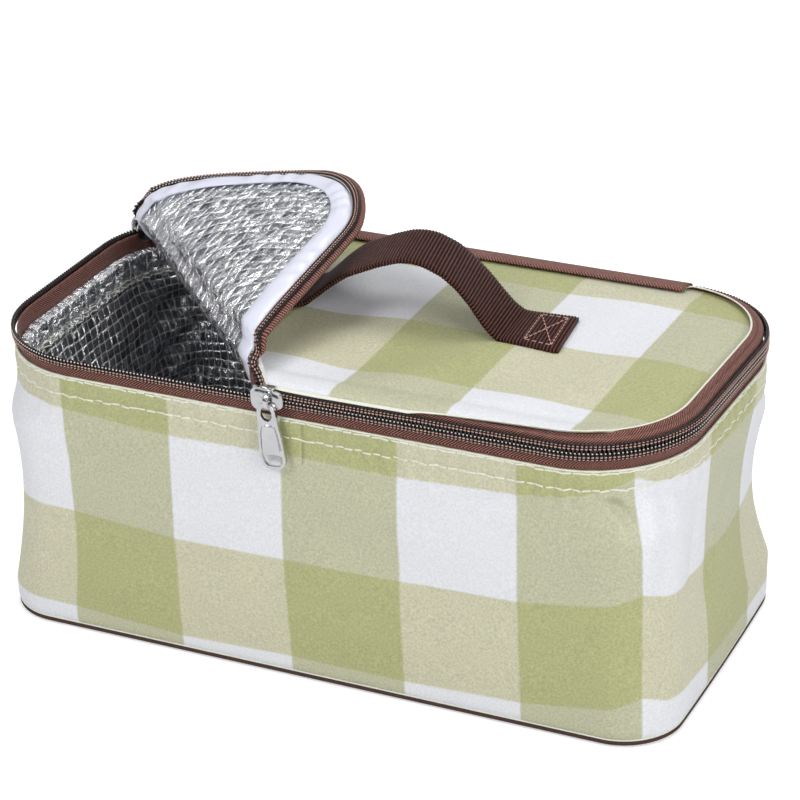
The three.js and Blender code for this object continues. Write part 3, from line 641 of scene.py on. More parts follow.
# Valleys in the wall cloth: distance round, height, lean, length, width, depth
wallCreases = [(131, 103.5, -36, 8, 1.5, 2.6), (138, 96, -58, 12, 3.0, 2.0),
               (152, 82, 82, 20, 5, 1.6), (120, 100, 12, 10, 2.5, 0.8), (176, 74, 74, 20, 5, 1.2),
               (168, 100, -18, 13, 3, 1.1), (196, 58, 60, 24, 6, 1.3), (214, 92, -30, 15, 4, 1.2),
               (150, 30, 70, 14, 5, 0.9), (-128, 100, 30, 12, 3, 1.0), (-150, 70, 80, 24, 6, 1.3),
               (-60, 40, 8, 34, 9, 0.8), (40, 62, -14, 40, 10, 0.9), (-100, 84, 24, 20, 5, 0.9),
               (75, 97, 10, 18, 3.5, 0.7)]


def creased(u, z):
    around = np.mod(u + roundLength / 2, roundLength) - roundLength / 2
    total = np.zeros_like(around)
    for along, height, lean, length, width, depth in wallCreases:
        across, up = around - along, z - height
        c, s = math.cos(math.radians(lean)), math.sin(math.radians(lean))
        total += depth * bell((up * c - across * s) / width, (across * c + up * s) / length)
    return total * smooth((bag["rimFoot"] + 1 - z) / 6)


# The wall's point at a distance round it, a height and an inset
def wall(u, z, inset):
    z = np.broadcast_to(z, u.shape)
    rimShare = smooth((z - bag["shoulder"]) / (bag["rimFoot"] - bag["shoulder"]))
    point, normal = plan(u, rimShare)
    x, y = point[:, 0], point[:, 1]
    nearEnd = smooth((np.abs(x) - (bag["length"] / 2 - bag["endZone"])) / bag["endZone"])
    towardsBack = np.clip(y / bag["depth"] + 0.5, 0, 1) ** 2
    right = bag["rightFallsIn"] * towardsBack * freedom(z, bag["footFallsIn"])
    x = x + nearEnd * np.where(x > 0, -right, bag["leftFallsIn"] * freedom(z))
    stands = bag["bulge"] * np.cos(np.clip(x / bag["bulgeHalf"], -1, 1) * math.pi / 2) * freedom(z)
    stands = stands * (np.abs(normal[:, 1]) > 0.7)            # not at the ends
    wander = softNoise(u, z, *bag["wanderSizes"], seeds["wall"])
    stands = stands + bag["wander"] * wander * freedom(z) - creased(u, z)
    moved = columns(x, y) + normal * (stands - inset)[:, None]
    return columns(moved, z)


rowHeights = ([-160, -109.3, -59.3, -9.3, 40.7, 90.7, 128, 140.7, 152, 190.7, 240, 330, 700],
              [12, 11.5, 8.5, 10.1, 9.8, 11.8, 17, 22, 18, 15, 12, 10, 12])


def checkMap(u, z):
    wrapped = np.where(u > 600, u - roundLength, u)
    row = np.interp(wrapped, rowHeights[0], rowHeights[1])
    return columns((wrapped - check["frontStart"]) / check["size"], (z - row) / check["rowPitch"])


# The rows of stitches: height, how far round them the cloth is drawn in, and how deep
body = dict(foot=3.1, rows=((108.6, 1.2, 0.6), (115.9, 0.9, 0.45)), puckerPitch=9.0, pucker=0.5,
            cloth=0.9, tucked=0.9)
bodyRise = bag["hemTop"] - body["foot"]


def outerPlace(u, v):
    u = u * roundLength
    z = body["foot"] + bodyRise * v
    hem = smooth((z - 96) / 10) * (1 - smooth((z - 114) / 4))
    wander = 3 * softNoise(u, z, 60, 200, seeds["pucker"])
    pucker = np.sin(2 * math.pi * u / body["puckerPitch"] + wander)
    depth = 0.6 + 0.4 * softNoise(u, z, 40, 90, seeds["puckerDepth"])
    inset = -body["pucker"] * hem * pucker * depth
    for height, reach, much in body["rows"]:
        inset += much * bell((z - height) / reach)
    inset += body["tucked"] * smooth((6 - z) / 4)             # tucked in over the piping
    return wall(u, z, inset)


def outerWall():
    piece = mappedSheet("outerWall", "cloth", 500, 96, outerPlace,
                        lambda u, v: checkMap(u * roundLength, body["foot"] + bodyRise * v),
                        body["cloth"])
    dress(piece, "tub", "outer_wall")
    roundLength * mm


def ringTube(name, look, radius, insetMiddle, z, across, around, *solids):
    def place(u, v):
        angle = -v * 2 * math.pi
        centre = wall(u * roundLength, z, insetMiddle - radius * np.cos(angle))
        centre[:, 2] = z - radius * np.sin(angle)
        return centre
    piece = mappedSheet(name, look, across, around, place, flatMap(roundLength, 9))
    faceOutwards(piece.data)
    dress(piece, "tub", *solids)


# Each cord: its radius, inset and height, and its grid
cords = dict(bottomPiping=("piping", 1.05, 1.4, 1.8, 330, 10, "bottom_piping"),
             # pale cream tubes along the cloth's folds: a painted highlight on each fold
             pipingEdge=("thread", 0.35, 0.75, 3.2, 330, 6),
             hemEdge=("thread", 0.4, 0.4, bag["hemTop"] - 0.1, 430, 6))


# A flat sheet that fills the bag's outline at a height
def filled(name, look, inset, z, thickness, pattern, across=160, rings=18, lift=None):
    def place(u, v):
        edge = wall(u * roundLength, z, inset)
        edge[:, :2] *= v[:, None]
        if lift is not None:
            edge[:, 2] += lift(edge[:, 0], edge[:, 1], v)
        return edge
    return mappedSheet(name, look, across, rings, place, lambda u, v: pattern(place(u, v)),
                       thickness, True)


wallFoam = dict(foot=3.8, rise=bag["hemTop"] - 5.7, inset=2.1, thinner=0.4, thick=2.2)
lining = dict(foot=4.9, rise=bag["hemTop"] - 6.4, inset=5.7, wander=0.7, folds=1.2, thick=0.5,
              bunchAt=571, bunchWide=26)


def bodyLayers():
    base = filled("baseCloth", "cloth", 2.9, 1.2, 1.1,
                  lambda p: (p[:, :2] - [check["frontStart"], 0]) / check["size"])
    dress(base, "tub", "outer_base")

    def foamPlace(u, v):
        z = wallFoam["foot"] + wallFoam["rise"] * v
        inset = wallFoam["inset"] + wallFoam["thinner"] * smooth((z - 105) / 3)
        return wall(u * roundLength, z, inset)
    foam = mappedSheet("wallFoam", "foam", 240, 40, foamPlace, flatMap(roundLength, 110),
                       wallFoam["thick"])
    dress(foam, "tub", "wall_foam")
    baseFoam = filled("baseFoam", "foam", 5.2, 4.4, 2.8, lambda p: p[:, :2] * 1.0, 120, 10)
    dress(baseFoam, "tub", "base_foam")

    def liningPlace(u, v):
        z = lining["foot"] + lining["rise"] * v
        along = u * roundLength
        wander = softNoise(along, z, 24, 30, seeds["lining"]) * freedom(z)
        inset = lining["inset"] + lining["wander"] * wander
        folds = crumple(along, z, 15, seeds["liningFolds"]) - 0.35
        inset = inset + lining["folds"] * folds * smooth((110 - z) / 16)
        backLeft = bell((np.mod(along, roundLength) - lining["bunchAt"]) / lining["bunchWide"])
        bunch = 2.4 + 1.9 * np.sin(z / 3.1 + along / 9)
        inset = inset + backLeft * bunch * smooth((112 - z) / 20)
        return wall(along, z, inset)
    sides = mappedSheet("wallLining", "foil", 460, 90, liningPlace, flatMap(roundLength, 111),
                        -lining["thick"])
    dress(sides, "tub", "wall_lining")
    baseLining = filled("baseLining", "foil", 6.4, 5.5, 0.6, lambda p: p[:, :2] * 1.0, 200, 30,
                        lift=lambda x, y, v: 0.5 * np.sin(x / 13) * np.sin(y / 9) * (1 - v))
    dress(baseLining, "tub", "base_lining")


hem = dict(top=116.3, fall=12.5, turnShare=0.12, inset=2.5, turn=4.2, stitch=106.6,
           secondStitch=104.9, pucker=0.55, puckerPitch=6.5, folds=0.9, drawn=0.5)


def hemPlace(u, v):
    along = u * roundLength
    section = v * 2
    below = np.clip(section - hem["turnShare"], 0, None) / (2 - hem["turnShare"])
    z = hem["top"] - hem["fall"] * below
    inset = hem["inset"] + hem["turn"] * smooth(section / (2 * hem["turnShare"]))
    wander = 4 * softNoise(along, z, 45, 300, seeds["hem"])
    pucker = hem["pucker"] * np.sin(2 * math.pi * along / hem["puckerPitch"] + wander)
    folds = hem["folds"] * (crumple(along, z, 6, seeds["hemFolds"]) - 0.4)
    inset = inset + (pucker + folds) * smooth((115.5 - z) / 3)
    return wall(along, z, inset - hem["drawn"] * bell((z - hem["stitch"]) / 1.6))


def liningHem():
    piece = mappedSheet("liningHem", "hemFoil", 640, 26, hemPlace,
                        lambda u, v: columns(u * roundLength, v * 14 + 2.1), 0.4)
    dress(piece, "tub", "lining_hem")


seam = dict(long=97, wide=6, stands=1.6, swell=0.6, follows=0.8, thick=0.5)


def seamStrip():
    low, high = (np.array(corner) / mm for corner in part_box("lining_seam_strip"))

    def place(u, v):
        x, z = low[0] + (high[0] - low[0]) * u, low[2] + (high[2] - low[2]) * v
        y = low[1] - seam["stands"] - seam["swell"] * np.sin(math.pi * u)
        return columns(x, y + seam["follows"] * freedom(z), z)
    piece = mappedSheet("liningSeamStrip", "film", 8, 30, place,
                        flatMap(seam["wide"], seam["long"]), seam["thick"])
    dress(piece, "tub", "lining_seam_strip")
    strip(piece, seam["long"], seam["wide"], "hung", ["wallLining"])


fold = dict(front=(-13.0, -75.5), rearAngle=34.0, axisHeight=127.5, angle=150.0, lean=85.1,
            start=-3.3, end=29.4, middleRise=0.5, creaseTurn=57.0, creaseDrop=0.4,
            creaseAt=(-1, 0, 2, 4, 6, 8, 10, 12, 14, 17),
            creaseMore=(0, 6, 38, 52, 57, 55, 45, 29, 13, 0),
            freeStart=3.0, freeRun=14.0)
rearTurn = math.radians(180 - fold["rearAngle"])
rearFold = np.array([-straightX + bag["rimRadius"] * math.cos(rearTurn),
                     straightY + bag["rimRadius"] * math.sin(rearTurn)])
frontFold = np.array(fold["front"])
foldLine = unit(rearFold - frontFold)
foldOut = np.array([-foldLine[1], foldLine[0]])       # towards the folded corner
foldTurn = math.radians(fold["angle"])
foldLean = math.radians(fold["lean"])


def turnedBy(out, rise, angle):
    return out * np.cos(angle) - rise * np.sin(angle), out * np.sin(angle) + rise * np.cos(angle)


# Points of the flat, shut lid, in millimetres, go to where the folded lid has them. All layers
# turn together, as sewn sheets do, with a sharper crease near the fold line.
def bent(points):
    offset = points[:, :2] - frontFold
    out, along = offset @ foldOut, offset @ foldLine
    rise = points[:, 2] - fold["axisHeight"]
    low, high = np.zeros(len(out)), np.ones(len(out))
    for _ in range(34):
        share = (low + high) / 2
        across, up = turnedBy(out, fold["middleRise"], share * foldTurn)
        reach = across * math.cos(foldLean) + up * math.sin(foldLean)
        more = smooth((reach - fold["start"]) / (fold["end"] - fold["start"])) > share
        low, high = np.where(more, share, low), np.where(more, high, share)
    extra = np.interp(out, fold["creaseAt"], fold["creaseMore"])
    extra *= 1 - 0.3 * smooth((along - 150) / 25)             # softer near the hinge
    rise = np.where(rise < 0, rise * (1 - fold["creaseDrop"] * extra / fold["creaseTurn"]), rise)
    across, up = turnedBy(out, rise, share * foldTurn + np.radians(extra))
    plane = frontFold + along[:, None] * foldLine + across[:, None] * foldOut
    return columns(plane, fold["axisHeight"] + up)


def bendWithLid(piece):
    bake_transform(piece)


# How far the zip along the folded corner has come free, 0 where it is done up
def freeShare(points):
    return smooth(((points - frontFold) @ foldOut - fold["freeStart"]) / fold["freeRun"])


lid = dict(edge=4.7, foilEdge=12.2, freeFoilEdge=8.6, cornerRadius=50.0, cloth=0.8, foam=1.3,
           foil=0.4, rimSteps=4000, overGrows=46.0, overEnd=132.0, overFirst=0.7,
           visibleEdge=6.3, crown=1.6, sag=2.0, foilDrop=4.6,
           clothOver=((0.7, -0.5), (1.1, 0.8), (1.8, 1.5), (3, 2.0), (5, 2.3), (8, 2.4), (11, 2.4)))


# Evenly spaced points of the lid's outline at the rim, counter-clockwise from the front middle,
# and their outward directions. Its folded corner is a little rounder than the rest.
def rimTable():
    halfX, halfY = bag["length"] / 2, bag["depth"] / 2
    points, normals = [[0, -halfY]], [[0, -1]]
    radii = [bag["rimRadius"]] * 3 + [lid["cornerRadius"]]
    for index, (sideX, sideY) in enumerate([(1, -1), (1, 1), (-1, 1), (-1, -1)]):
        for angle in np.radians(-90 + 90 * index + np.linspace(0, 90, 90)):
            way = np.array([math.cos(angle), math.sin(angle)])
            centre = np.array([sideX * (halfX - radii[index]), sideY * (halfY - radii[index])])
            points.append(centre + radii[index] * way)
            normals.append(way)
    points, normals = np.array(points + points[:1]), np.array(normals + normals[:1])
    runs = runLengths(points)
    steps = np.linspace(0, runs[-1], lid["rimSteps"] + 1)
    return readAt(steps, runs, points), unit(readAt(steps, runs, normals))


rimPoints, rimNormals = rimTable()


def onRim(share, inset):
    at, steps = share * lid["rimSteps"], np.arange(lid["rimSteps"] + 1)
    point, normal = readAt(at, steps, rimPoints), readAt(at, steps, rimNormals)
    return point - normal * np.reshape(inset, (-1, 1)), normal


# Distances across the fold at which the lid's sheets have rows, close together at the bend
def lidRows(outline, count):
    out = (outline - frontFold) @ foldOut
    grid = np.linspace(out.min(), out.max(), 4000)
    ends = np.minimum(grid - out.min(), out.max() - grid)
    spacing = 2.0 - 1.7 * bell((grid - 9) / 10)
    spacing = np.minimum(spacing, 0.25 + 0.35 * ends)
    dense = np.concatenate([[0], np.cumsum(np.diff(grid) / spacing[1:])])
    return np.interp(np.linspace(0, dense[-1], count + 1), dense, grid)


# A sheet that fills an outline of the lid, laid flat at height(x, y) and then bent
def lidSheet(name, look, inset, height, thickness, pattern=lambda p: p * 1.0, rows=220, across=120):
    outline = (rimPoints - rimNormals * np.reshape(inset, (-1, 1)))[:-1]
    out, along = (outline - frontFold) @ foldOut, (outline - frontFold) @ foldLine
    first, last = int(np.argmin(out)), int(np.argmax(out))
    turned = np.roll(np.arange(len(out)), -first)
    stop = int(np.where(turned == last)[0][0])
    one, other = turned[:stop + 1], np.concatenate([turned[stop:], turned[:1]])[::-1]
    levels = lidRows(outline, rows)

    def flatPoint(u, v):
        level = levels[np.round(v * rows).astype(int)]
        a = np.interp(level, out[one], along[one])
        b = np.interp(level, out[other], along[other])
        return frontFold + level[:, None] * foldOut + (a + (b - a) * u)[:, None] * foldLine

    def place(u, v):
        flat = flatPoint(u, v)
        return bent(columns(flat, height(flat[:, 0], flat[:, 1])))
    return mappedSheet(name, look, across, rows, place, lambda u, v: pattern(flatPoint(u, v)),
                       thickness, True)


# How far a point of the flat lid lies inside the rim
def edgeDistance(x, y):
    radius = bag["rimRadius"]
    qx, qy = np.abs(x) - straightX, np.abs(y) - straightY
    outside = np.hypot(np.clip(qx, 0, None), np.clip(qy, 0, None))
    return radius - outside - np.minimum(np.maximum(qx, qy), 0)


# Along the front, short of its right end, the lid's cloth covers its binding: 1 there, else 0
def overBinding(x, y):
    return smooth((lid["overEnd"] - x) / 12) * smooth((-y - 40) / 10)


def clothInset():
    x, y = rimPoints[:, 0], rimPoints[:, 1]
    grows = np.clip((x - lid["overGrows"]) / (lid["overEnd"] - lid["overGrows"]), 0, 1)
    over = lid["overFirst"] + (lid["visibleEdge"] - lid["overFirst"]) * grows
    share = np.clip(overBinding(x, y) * 5, 0, 1)
    return lid["edge"] * (1 - share) + over * share


def clothHeight(x, y):
    inside = edgeDistance(x, y)
    crown = lid["crown"] * smooth((inside - 6) / 14)
    sag = -lid["sag"] * bell((x + 20) / 34, (y + 12) / 26)    # beside the fold
    waves = 0.8 * np.sin((x * 0.85 - y * 0.5) / 7.5) * bell((x - 8) / 46, (y + 42) / 34)
    waves += 0.4 * np.sin(x / 17 + y / 23) + 0.35 * np.sin(x / 9 - y / 14 + 1)
    share = overBinding(x, y) * (1 - smooth((inside - 9) / 8))
    over = np.interp(inside, *np.array(lid["clothOver"]).T)
    soft = (sag + waves) * smooth((inside - 8) / 18)
    return bag["lidTop"] + crown * (1 - share) + over * share + soft


def foilHeight(x, y):
    inside = edgeDistance(x, y)
    onFlap = smooth(((columns(x, y) - frontFold) @ foldOut - 2) / 8)
    folds = (0.5 + 1.6 * onFlap) * (crumple(x, y, 9, seeds["flap"]) - 0.4)
    folds = folds + 0.7 * onFlap * crumple(x, y, 4.5, seeds["flapFine"])
    hangs = (1.0 + 0.6 * onFlap) * smooth((inside - 15) / 10)
    return bag["lidTop"] - lid["foilDrop"] - hangs - folds * smooth((inside - 12) / 6)


def lidLayers():
    cloth = lidSheet("lidCloth", "cloth", clothInset(), clothHeight, lid["cloth"],
                     lambda p: columns((p[:, 0] - check["lidX"]) / check["lidPitchX"],
                                       (check["lidY"] - p[:, 1]) / check["lidPitchY"] + 1))
    dress(cloth, None, "lid_panel", "corner_panel")
    out = (rimPoints - frontFold) @ foldOut
    foam = lidSheet("lidFoam", "foam", lid["edge"] + 0.2 + 15.0 * smooth((out + 20) / 14),
                    lambda x, y: np.minimum(clothHeight(x, y) - 1.1, bag["lidTop"] - 1.6),
                    lid["foam"])
    dress(foam, None, "lid_foam", "corner_foam")
    free = freeShare(rimPoints)
    edge = lid["foilEdge"] * (1 - free) + lid["freeFoilEdge"] * free
    foil = lidSheet("lidFoil", "flapFoil", edge, foilHeight, -lid["foil"])
    dress(foil, None, "lid_lining", "corner_lining")


# Even places round the lid's rim, spaced as it lies folded
def stations(spacing):
    steps = lid["rimSteps"]
    height = np.full(steps + 1, bag["zipHeight"] + 1.75)
    runs = runLengths(bent(columns(rimPoints - rimNormals, height)))
    count = int(round(runs[-1] / spacing))
    spots = np.interp(np.arange(count + 1) * runs[-1] / count, runs, np.arange(steps + 1)) / steps
    return spots, runs[-1]


# Sections of the lid's trim, inset and height over the lid's top: shut, then come free
trim = dict(
    lidBorder=dict(shut=[(6.0, -5.0), (7.5, -5.7), (9.5, -6.0), (12.5, -6.0), (15.4, -5.2)],
                   free=[(2.5, -2.9), (3.2, -4.2), (4.7, -5.0), (7.2, -5.6), (10.4, -5.2)],
                   look="film", thick=-0.45, flat=(790, 9.7), rows=16,
                   nodes=("lid_border", "corner_border"), on=["lidFoam"]),
    lidBinding=dict(shut=[(9.6, -5.2), (6.2, -6.2), (4.3, -5.4), (3.7, -3.2), (3.7, -0.8),
                          (4.0, 0.5), (4.6, 1.3), (5.5, 1.9), (6.5, 2.0)],
                    free=[(9.6, -3.4), (6.6, -3.6), (5.0, -3.4), (3.8, -2.4), (3.7, -0.8),
                          (4.0, 0.5), (4.6, 1.3), (5.5, 1.9), (6.5, 2.0)],
                    look="tape", thick=0.5, flat=(830, 17.0), rows=24,
                    nodes=("lid_binding", "corner_binding"), on=["lidCloth"]),
    lidZipTape=dict(shut=[(1.5, -2.6), (1.5, -1.2), (1.5, -0.4), (1.8, 0.2), (2.6, 0.5),
                          (4.1, 0.2)],
                    free=[(1.4, -1.6), (-1.6, -1.6), (-2.8, -0.9), (-2.2, 0.3), (0, 0.6),
                          (4.1, 0.2)],
                    look="tape", thick=0.4, flat=(850, 8.0), rows=15,
                    nodes=("lid_zip_tape_rear", "lid_zip_tape_front", "corner_zip_tape"),
                    on=["lidBinding"]))


def trimFlat(shares, w, rule):
    path = np.linspace(0, 1, len(rule["shut"]))
    shut, free = readAt(w, path, rule["shut"]), readAt(w, path, rule["free"])
    share = freeShare(onRim(shares, 0)[0])[:, None]
    section = shut * (1 - share) + free * share
    point, _ = onRim(shares, section[:, 0])
    return point, section[:, 1], share[:, 0]


def lidTrim():
    shares, total = stations(1.25)
    count = len(shares) - 1
    for name, rule in trim.items():
        def place(u, v):
            at = shares[np.round(u * count).astype(int)]
            point, height, share = trimFlat(at, v, rule)
            if name == "lidBorder":                           # small wrinkles where the strip turns
                wrinkles = np.sin(at * 420 + 3 * np.sin(at * 97)) * np.sin(math.pi * v)
                height = height + share * 0.5 * wrinkles
            if name == "lidBinding":                          # lower under the cloth
                low = overBinding(point[:, 0], point[:, 1]) * smooth((v - 0.6) / 0.1)
                height = height - 1.1 * low
            return bent(columns(point, bag["lidTop"] + height))
        runs = runLengths(rule["shut"])
        across = np.linspace(0, 1, len(runs))
        piece = mappedSheet(name, rule["look"], count, rule["rows"], place,
                            lambda u, v: columns(u * total, np.interp(v, across, runs)),
                            rule["thick"])
        dress(piece, None, *rule["nodes"])
        strip(piece, *rule["flat"], "stretched", rule["on"])


# The thin pale edge of the lid's cloth: a cream tube, a painted highlight along the cloth's fold
def clothEdge():
    shares, total = stations(1.6)
    count = len(shares) - 1
    cloth = clothInset()

    def place(u, v):
        at = shares[np.round(u * count).astype(int)]
        rim, _ = onRim(at, 0)
        over = overBinding(rim[:, 0], rim[:, 1])
        inset = np.interp(at * lid["rimSteps"], np.arange(lid["rimSteps"] + 1), cloth)
        middle = inset * over + lid["visibleEdge"] * (1 - over) + 0.45 * np.cos(2 * math.pi * v)
        point, _ = onRim(at, middle)
        onTop = np.maximum(clothHeight(point[:, 0], point[:, 1]) + 0.1, bag["lidTop"] + 2.1)
        overFront = clothHeight(*onRim(at, np.maximum(middle, inset + 0.1))[0].T)
        height = onTop * (1 - over) + overFront * over
        underTape = smooth((point[:, 1] - 62) / 4) * smooth((106 - np.abs(point[:, 0])) / 4)
        height = height + 0.25 * np.sin(2 * math.pi * v) - 1.3 * underTape
        return bent(columns(point, height))
    piece = mappedSheet("clothEdge", "thread", count, 6, place, flatMap(total, 2))
    faceOutwards(piece.data)
    dress(piece, None)


# Each row of the zip's halves: its look, size and place in a tooth's frame
coil = dict(pitch=1.6, middle=1.62, rows=dict(
    ZipCoil=("coil", (0.8, 1.5, 3.6), (0, 0, 0)),
    ZipCore=("coil", (1.632, 0.7, 2.7), (0, -0.3, 0.5)),
    ZipSewing=("brownThread", (1.0, 0.5, 0.5), (0.1, 0.7, 0.1)),
    ZipBacks=("brownThread", (0.8, 0.4, 0.42), (0, 0.62, 1.15)),
    # pale blocks on the heads: painted glints on the black coil
    ZipHeads=("glint", (0.62, 0.4, 0.5), (0, 0.72, -1.45))))


def blockStamp(size, offset, cut=0.3):
    bm = bmesh.new()
    bmesh.ops.create_cube(bm, size=1)
    bmesh.ops.scale(bm, verts=bm.verts, vec=size)
    bmesh.ops.translate(bm, verts=bm.verts, vec=offset)
    bmesh.ops.bevel(bm, geom=bm.edges, offset=cut * min(size), segments=1, profile=0.5,
                    affect="EDGES", material=-1)
    return bm


# Copies of a stamp at frames, each (origin, x axis, y axis, z axis) in millimetres
def stamped(name, look, stamp, frames):
    template = meshFrom(name + "Stamp", stamp)
    local = readAll(template.vertices, "co", 3)
    bm = bmesh.new()
    for _ in frames:
        bm.from_mesh(template)
    mesh = meshFrom(name, bm)
    places = np.concatenate([origin + local @ np.array(axes) for origin, axes in frames])
    mesh.vertices.foreach_set("co", (places * mm).ravel())
    for polygon in mesh.polygons:
        polygon.use_smooth = True
    mesh.update()
    bpy.data.meshes.remove(template)
    return link(mesh, look)


def onHinge(x, y):
    return y > straightY + 43.5 and abs(x) < straightX


# Upright frames on the body's rim: x along it, y outwards, z down
def rimFrames(pitch, start=0.0):
    table = np.linspace(0, roundLength, 3000)
    point, _ = plan(table, 1.0)
    runs = runLengths(point)
    along = np.interp(np.arange(start, runs[-1], pitch), runs, table)
    frames = []
    for place, out in zip(*plan(along, 1.0)):
        if not onHinge(*place):
            tangent, outward = np.array([-out[1], out[0], 0.0]), np.array([out[0], out[1], 0.0])
            origin = np.array([*(place + out * 0.1), bag["zipHeight"] - coil["middle"]])
            frames.append((origin, (tangent, outward, np.array([0, 0, -1.0]))))
    return frames


# The same on the lid. Where the zip is free the coil lies on the tape's underside, heads inwards.
def lidFrames(pitch, onlyFree=False):
    share, _ = stations(pitch)
    share = share[:-1]
    free = freeShare(onRim(share, 0)[0])
    if onlyFree:
        share, free = share[free > 0.5], free[free > 0.5]
    middle, normal = onRim(share, 0.6 * free - 0.1)
    ahead = columns(-normal[:, 1], normal[:, 0])
    height = bag["zipHeight"] + coil["middle"] - 0.45 * free
    base = columns(middle, height)
    origin, step = bent(base), 0.2
    tangents = bent(base + step * columns(ahead, np.zeros(len(base)))) - origin
    outs = bent(base + step * columns(normal, np.zeros(len(base)))) - origin
    frames = []
    for place, tangent, outward, flat, loose in zip(origin, tangents, outs, middle, free):
        if onHinge(*flat):
            continue
        tangent = unit(tangent)
        outward = unit(outward - tangent * (outward @ tangent))
        up = np.cross(outward, tangent)
        angle = loose * math.pi / 2
        face = outward * math.cos(angle) - up * math.sin(angle)
        frames.append((place, (-tangent, face, up * math.cos(angle) + outward * math.sin(angle))))
    return frames


# Each half: turns of coil on a core, the sewing over them, the backs of the turns, and pale blocks
# on their heads that are painted glints.
# The lid's glint blocks are left out where the zip is done up.
def zipCoils():
    halves = [("body", rimFrames(coil["pitch"], coil["pitch"] / 2), ("body_zip_chain",)),
              ("lid", lidFrames(coil["pitch"]),
               ("lid_zip_chain_rear", "lid_zip_chain_front", "corner_zip_chain"))]
    for half, frames, nodes in halves:
        for row, (look, size, offset) in coil["rows"].items():
            if half + row == "lidZipHeads":
                frames = lidFrames(coil["pitch"], True)
            piece = stamped(half + row, look, blockStamp(size, offset), frames)
            dress(piece, "tub" if half == "body" else None, *(nodes if row == "ZipCoil" else ()))


tapes = dict(bodyFoot=109, bodyRise=14.4, bodyLong=820, bodyInset=1.45, thick=0.5, hingeHalf=103.5,
             hingeWide=24,
             hingePath=[(111.0, 76.3), (118.0, 76.5), (124.0, 76.4), (127.5, 76.1),
                        (129.6, 75.0), (130.8, 72.6), (131.3, 69.0), (131.3, 63.5)])


def bodyTape():
    def place(u, v):
        return wall(u * roundLength, tapes["bodyFoot"] + tapes["bodyRise"] * v, tapes["bodyInset"])
    piece = mappedSheet("bodyZipTape", "tape", 400, 10, place,
                        flatMap(tapes["bodyLong"], tapes["bodyRise"]), tapes["thick"])
    dress(piece, "tub", "body_zip_tape")


def hingeTape():
    path, half = tapes["hingePath"], tapes["hingeHalf"]

    def place(u, v):
        z, y = readAt(v, np.linspace(0, 1, len(path)), path).T
        return columns((1 - u * 2) * half, y, z)
    piece = mappedSheet("hingeTape", "tape", 90, 21, place, flatMap(2 * half, tapes["hingeWide"]),
                        tapes["thick"])
    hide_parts("hinge_tape")
    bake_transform(piece)


# The strap's middle line and its length, then points on its top
def strapLine(share):                                         # smoothed at its bends
    runs = runLengths(handle["path"])
    fine = np.linspace(0, runs[-1], 500)
    kernel = np.hanning(23) / np.hanning(23).sum()
    line = []
    for values in readAt(fine, runs, handle["path"]).T:
        padded = np.pad(values, 11, mode="reflect", reflect_type="odd")
        line.append(np.convolve(padded, kernel, mode="valid"))
    return readAt(share * runs[-1], fine, np.transpose(line)), runs[-1]


def strapPlace(u, v):
    (x, z), near = strapLine(u)[0].T, 0.002
    slope = unit(strapLine(np.clip(u + near, 0, 1))[0] - strapLine(np.clip(u - near, 0, 1))[0])
    arch = smooth((z - 131.5) / 24)
    side = (v - 0.5) * 2
    half = handle["width"] / 2 * (1 - 0.05 * smooth((np.abs(u - 0.5) * 2 - 0.975) / 0.025))
    turn = np.radians(handle["turn"] + handle["archTurn"] * arch)
    px, py = x - side * half * np.sin(turn), handle["middleY"] + side * half * np.cos(turn)
    seat = clothHeight(px, py) + 0.15 + handle["thick"] / 2 + 0.9 * (1 - smooth(u / 0.08))
    middle = np.where(z < 134, np.maximum(z, seat), z)
    lift = handle["thick"] / 2 - 0.35 * side ** 6
    return columns(px - slope[:, 1] * lift, py, middle + slope[:, 0] * lift)


# Ribs across both faces of the strap
def raiseRibs(piece):
    mesh = piece.data
    places, normals = (readAll(mesh.vertices, what, 3) for what in ("co", "normal"))
    along = np.zeros(len(mesh.vertices))
    flat = readAll(mesh.uv_layers["flat"].data, "uv", 2)
    along[readAll(mesh.loops, "vertex_index", kind=int)] = flat[:, 0]
    lift = handle["ribHeight"] * np.sin(2 * math.pi * along / handle["rib"])
    mesh.vertices.foreach_set("co", (places + normals * lift[:, None] * mm).ravel())
    mesh.update()


def handleStrap():
    length = float(strapLine(np.array([0.0]))[1])
    size = np.array([length, handle["width"]])
    piece = mappedSheet("handleStrap", "webbing", 600, 14, strapPlace, flatMap(*size),
                        handle["thick"], True)
    raiseRibs(piece)
    dress(piece, "lid", "handle_strap")
    frames = []
    for low, high in handle["tabs"]:
        corners = [(low, 0.1), (high, 0.1), (high, 0.9), (low, 0.9)]
        for start, end in ((0, 1), (1, 2), (2, 3), (3, 0), (0, 2), (1, 3)):
            run = np.subtract(corners[end], corners[start])
            count = max(2, int(math.hypot(*(run * size)) / handle["stitchPitch"]))
            steps = np.linspace(0, 1, count, endpoint=False) + 0.5 / count
            u, v = (corners[start] + run * steps[:, None]).T
            spots = strapPlace(u, v)
            ahead = unit(strapPlace(u + run[0] * 0.02, v + run[1] * 0.02) - spots)
            for spot, tangent in zip(spots, ahead):
                side = unit(np.cross([0, 0, 1.0], tangent))
                frames.append((spot + [0, 0, 0.12], (tangent, side, np.array([0, 0, 1.0]))))
    stitch = blockStamp(handle["stitch"], (0, 0, 0))
    dress(stamped("handleStitches", "brownThread", stitch, frames), "lid")


# Rows of sewing on the wall cloth and on the foil hem
def sewnRow(place, along, height, lift, jitter, seed):
    local = np.random.default_rng(seed)
    along = along + local.uniform(-0.3, 0.3, len(along))
    height = height + local.uniform(-jitter, jitter, len(along))
    spots = place(along, height)
    ahead = place(along + 0.6, height + local.uniform(-0.08, 0.08, len(along)))
    frames = []
    for spot, tangent in zip(spots, unit(ahead - spots)):
        outward = np.array([tangent[1], -tangent[0], 0]) / math.hypot(tangent[0], tangent[1])
        frames.append((spot + outward * lift, (tangent, outward, np.cross(tangent, outward))))
    return frames


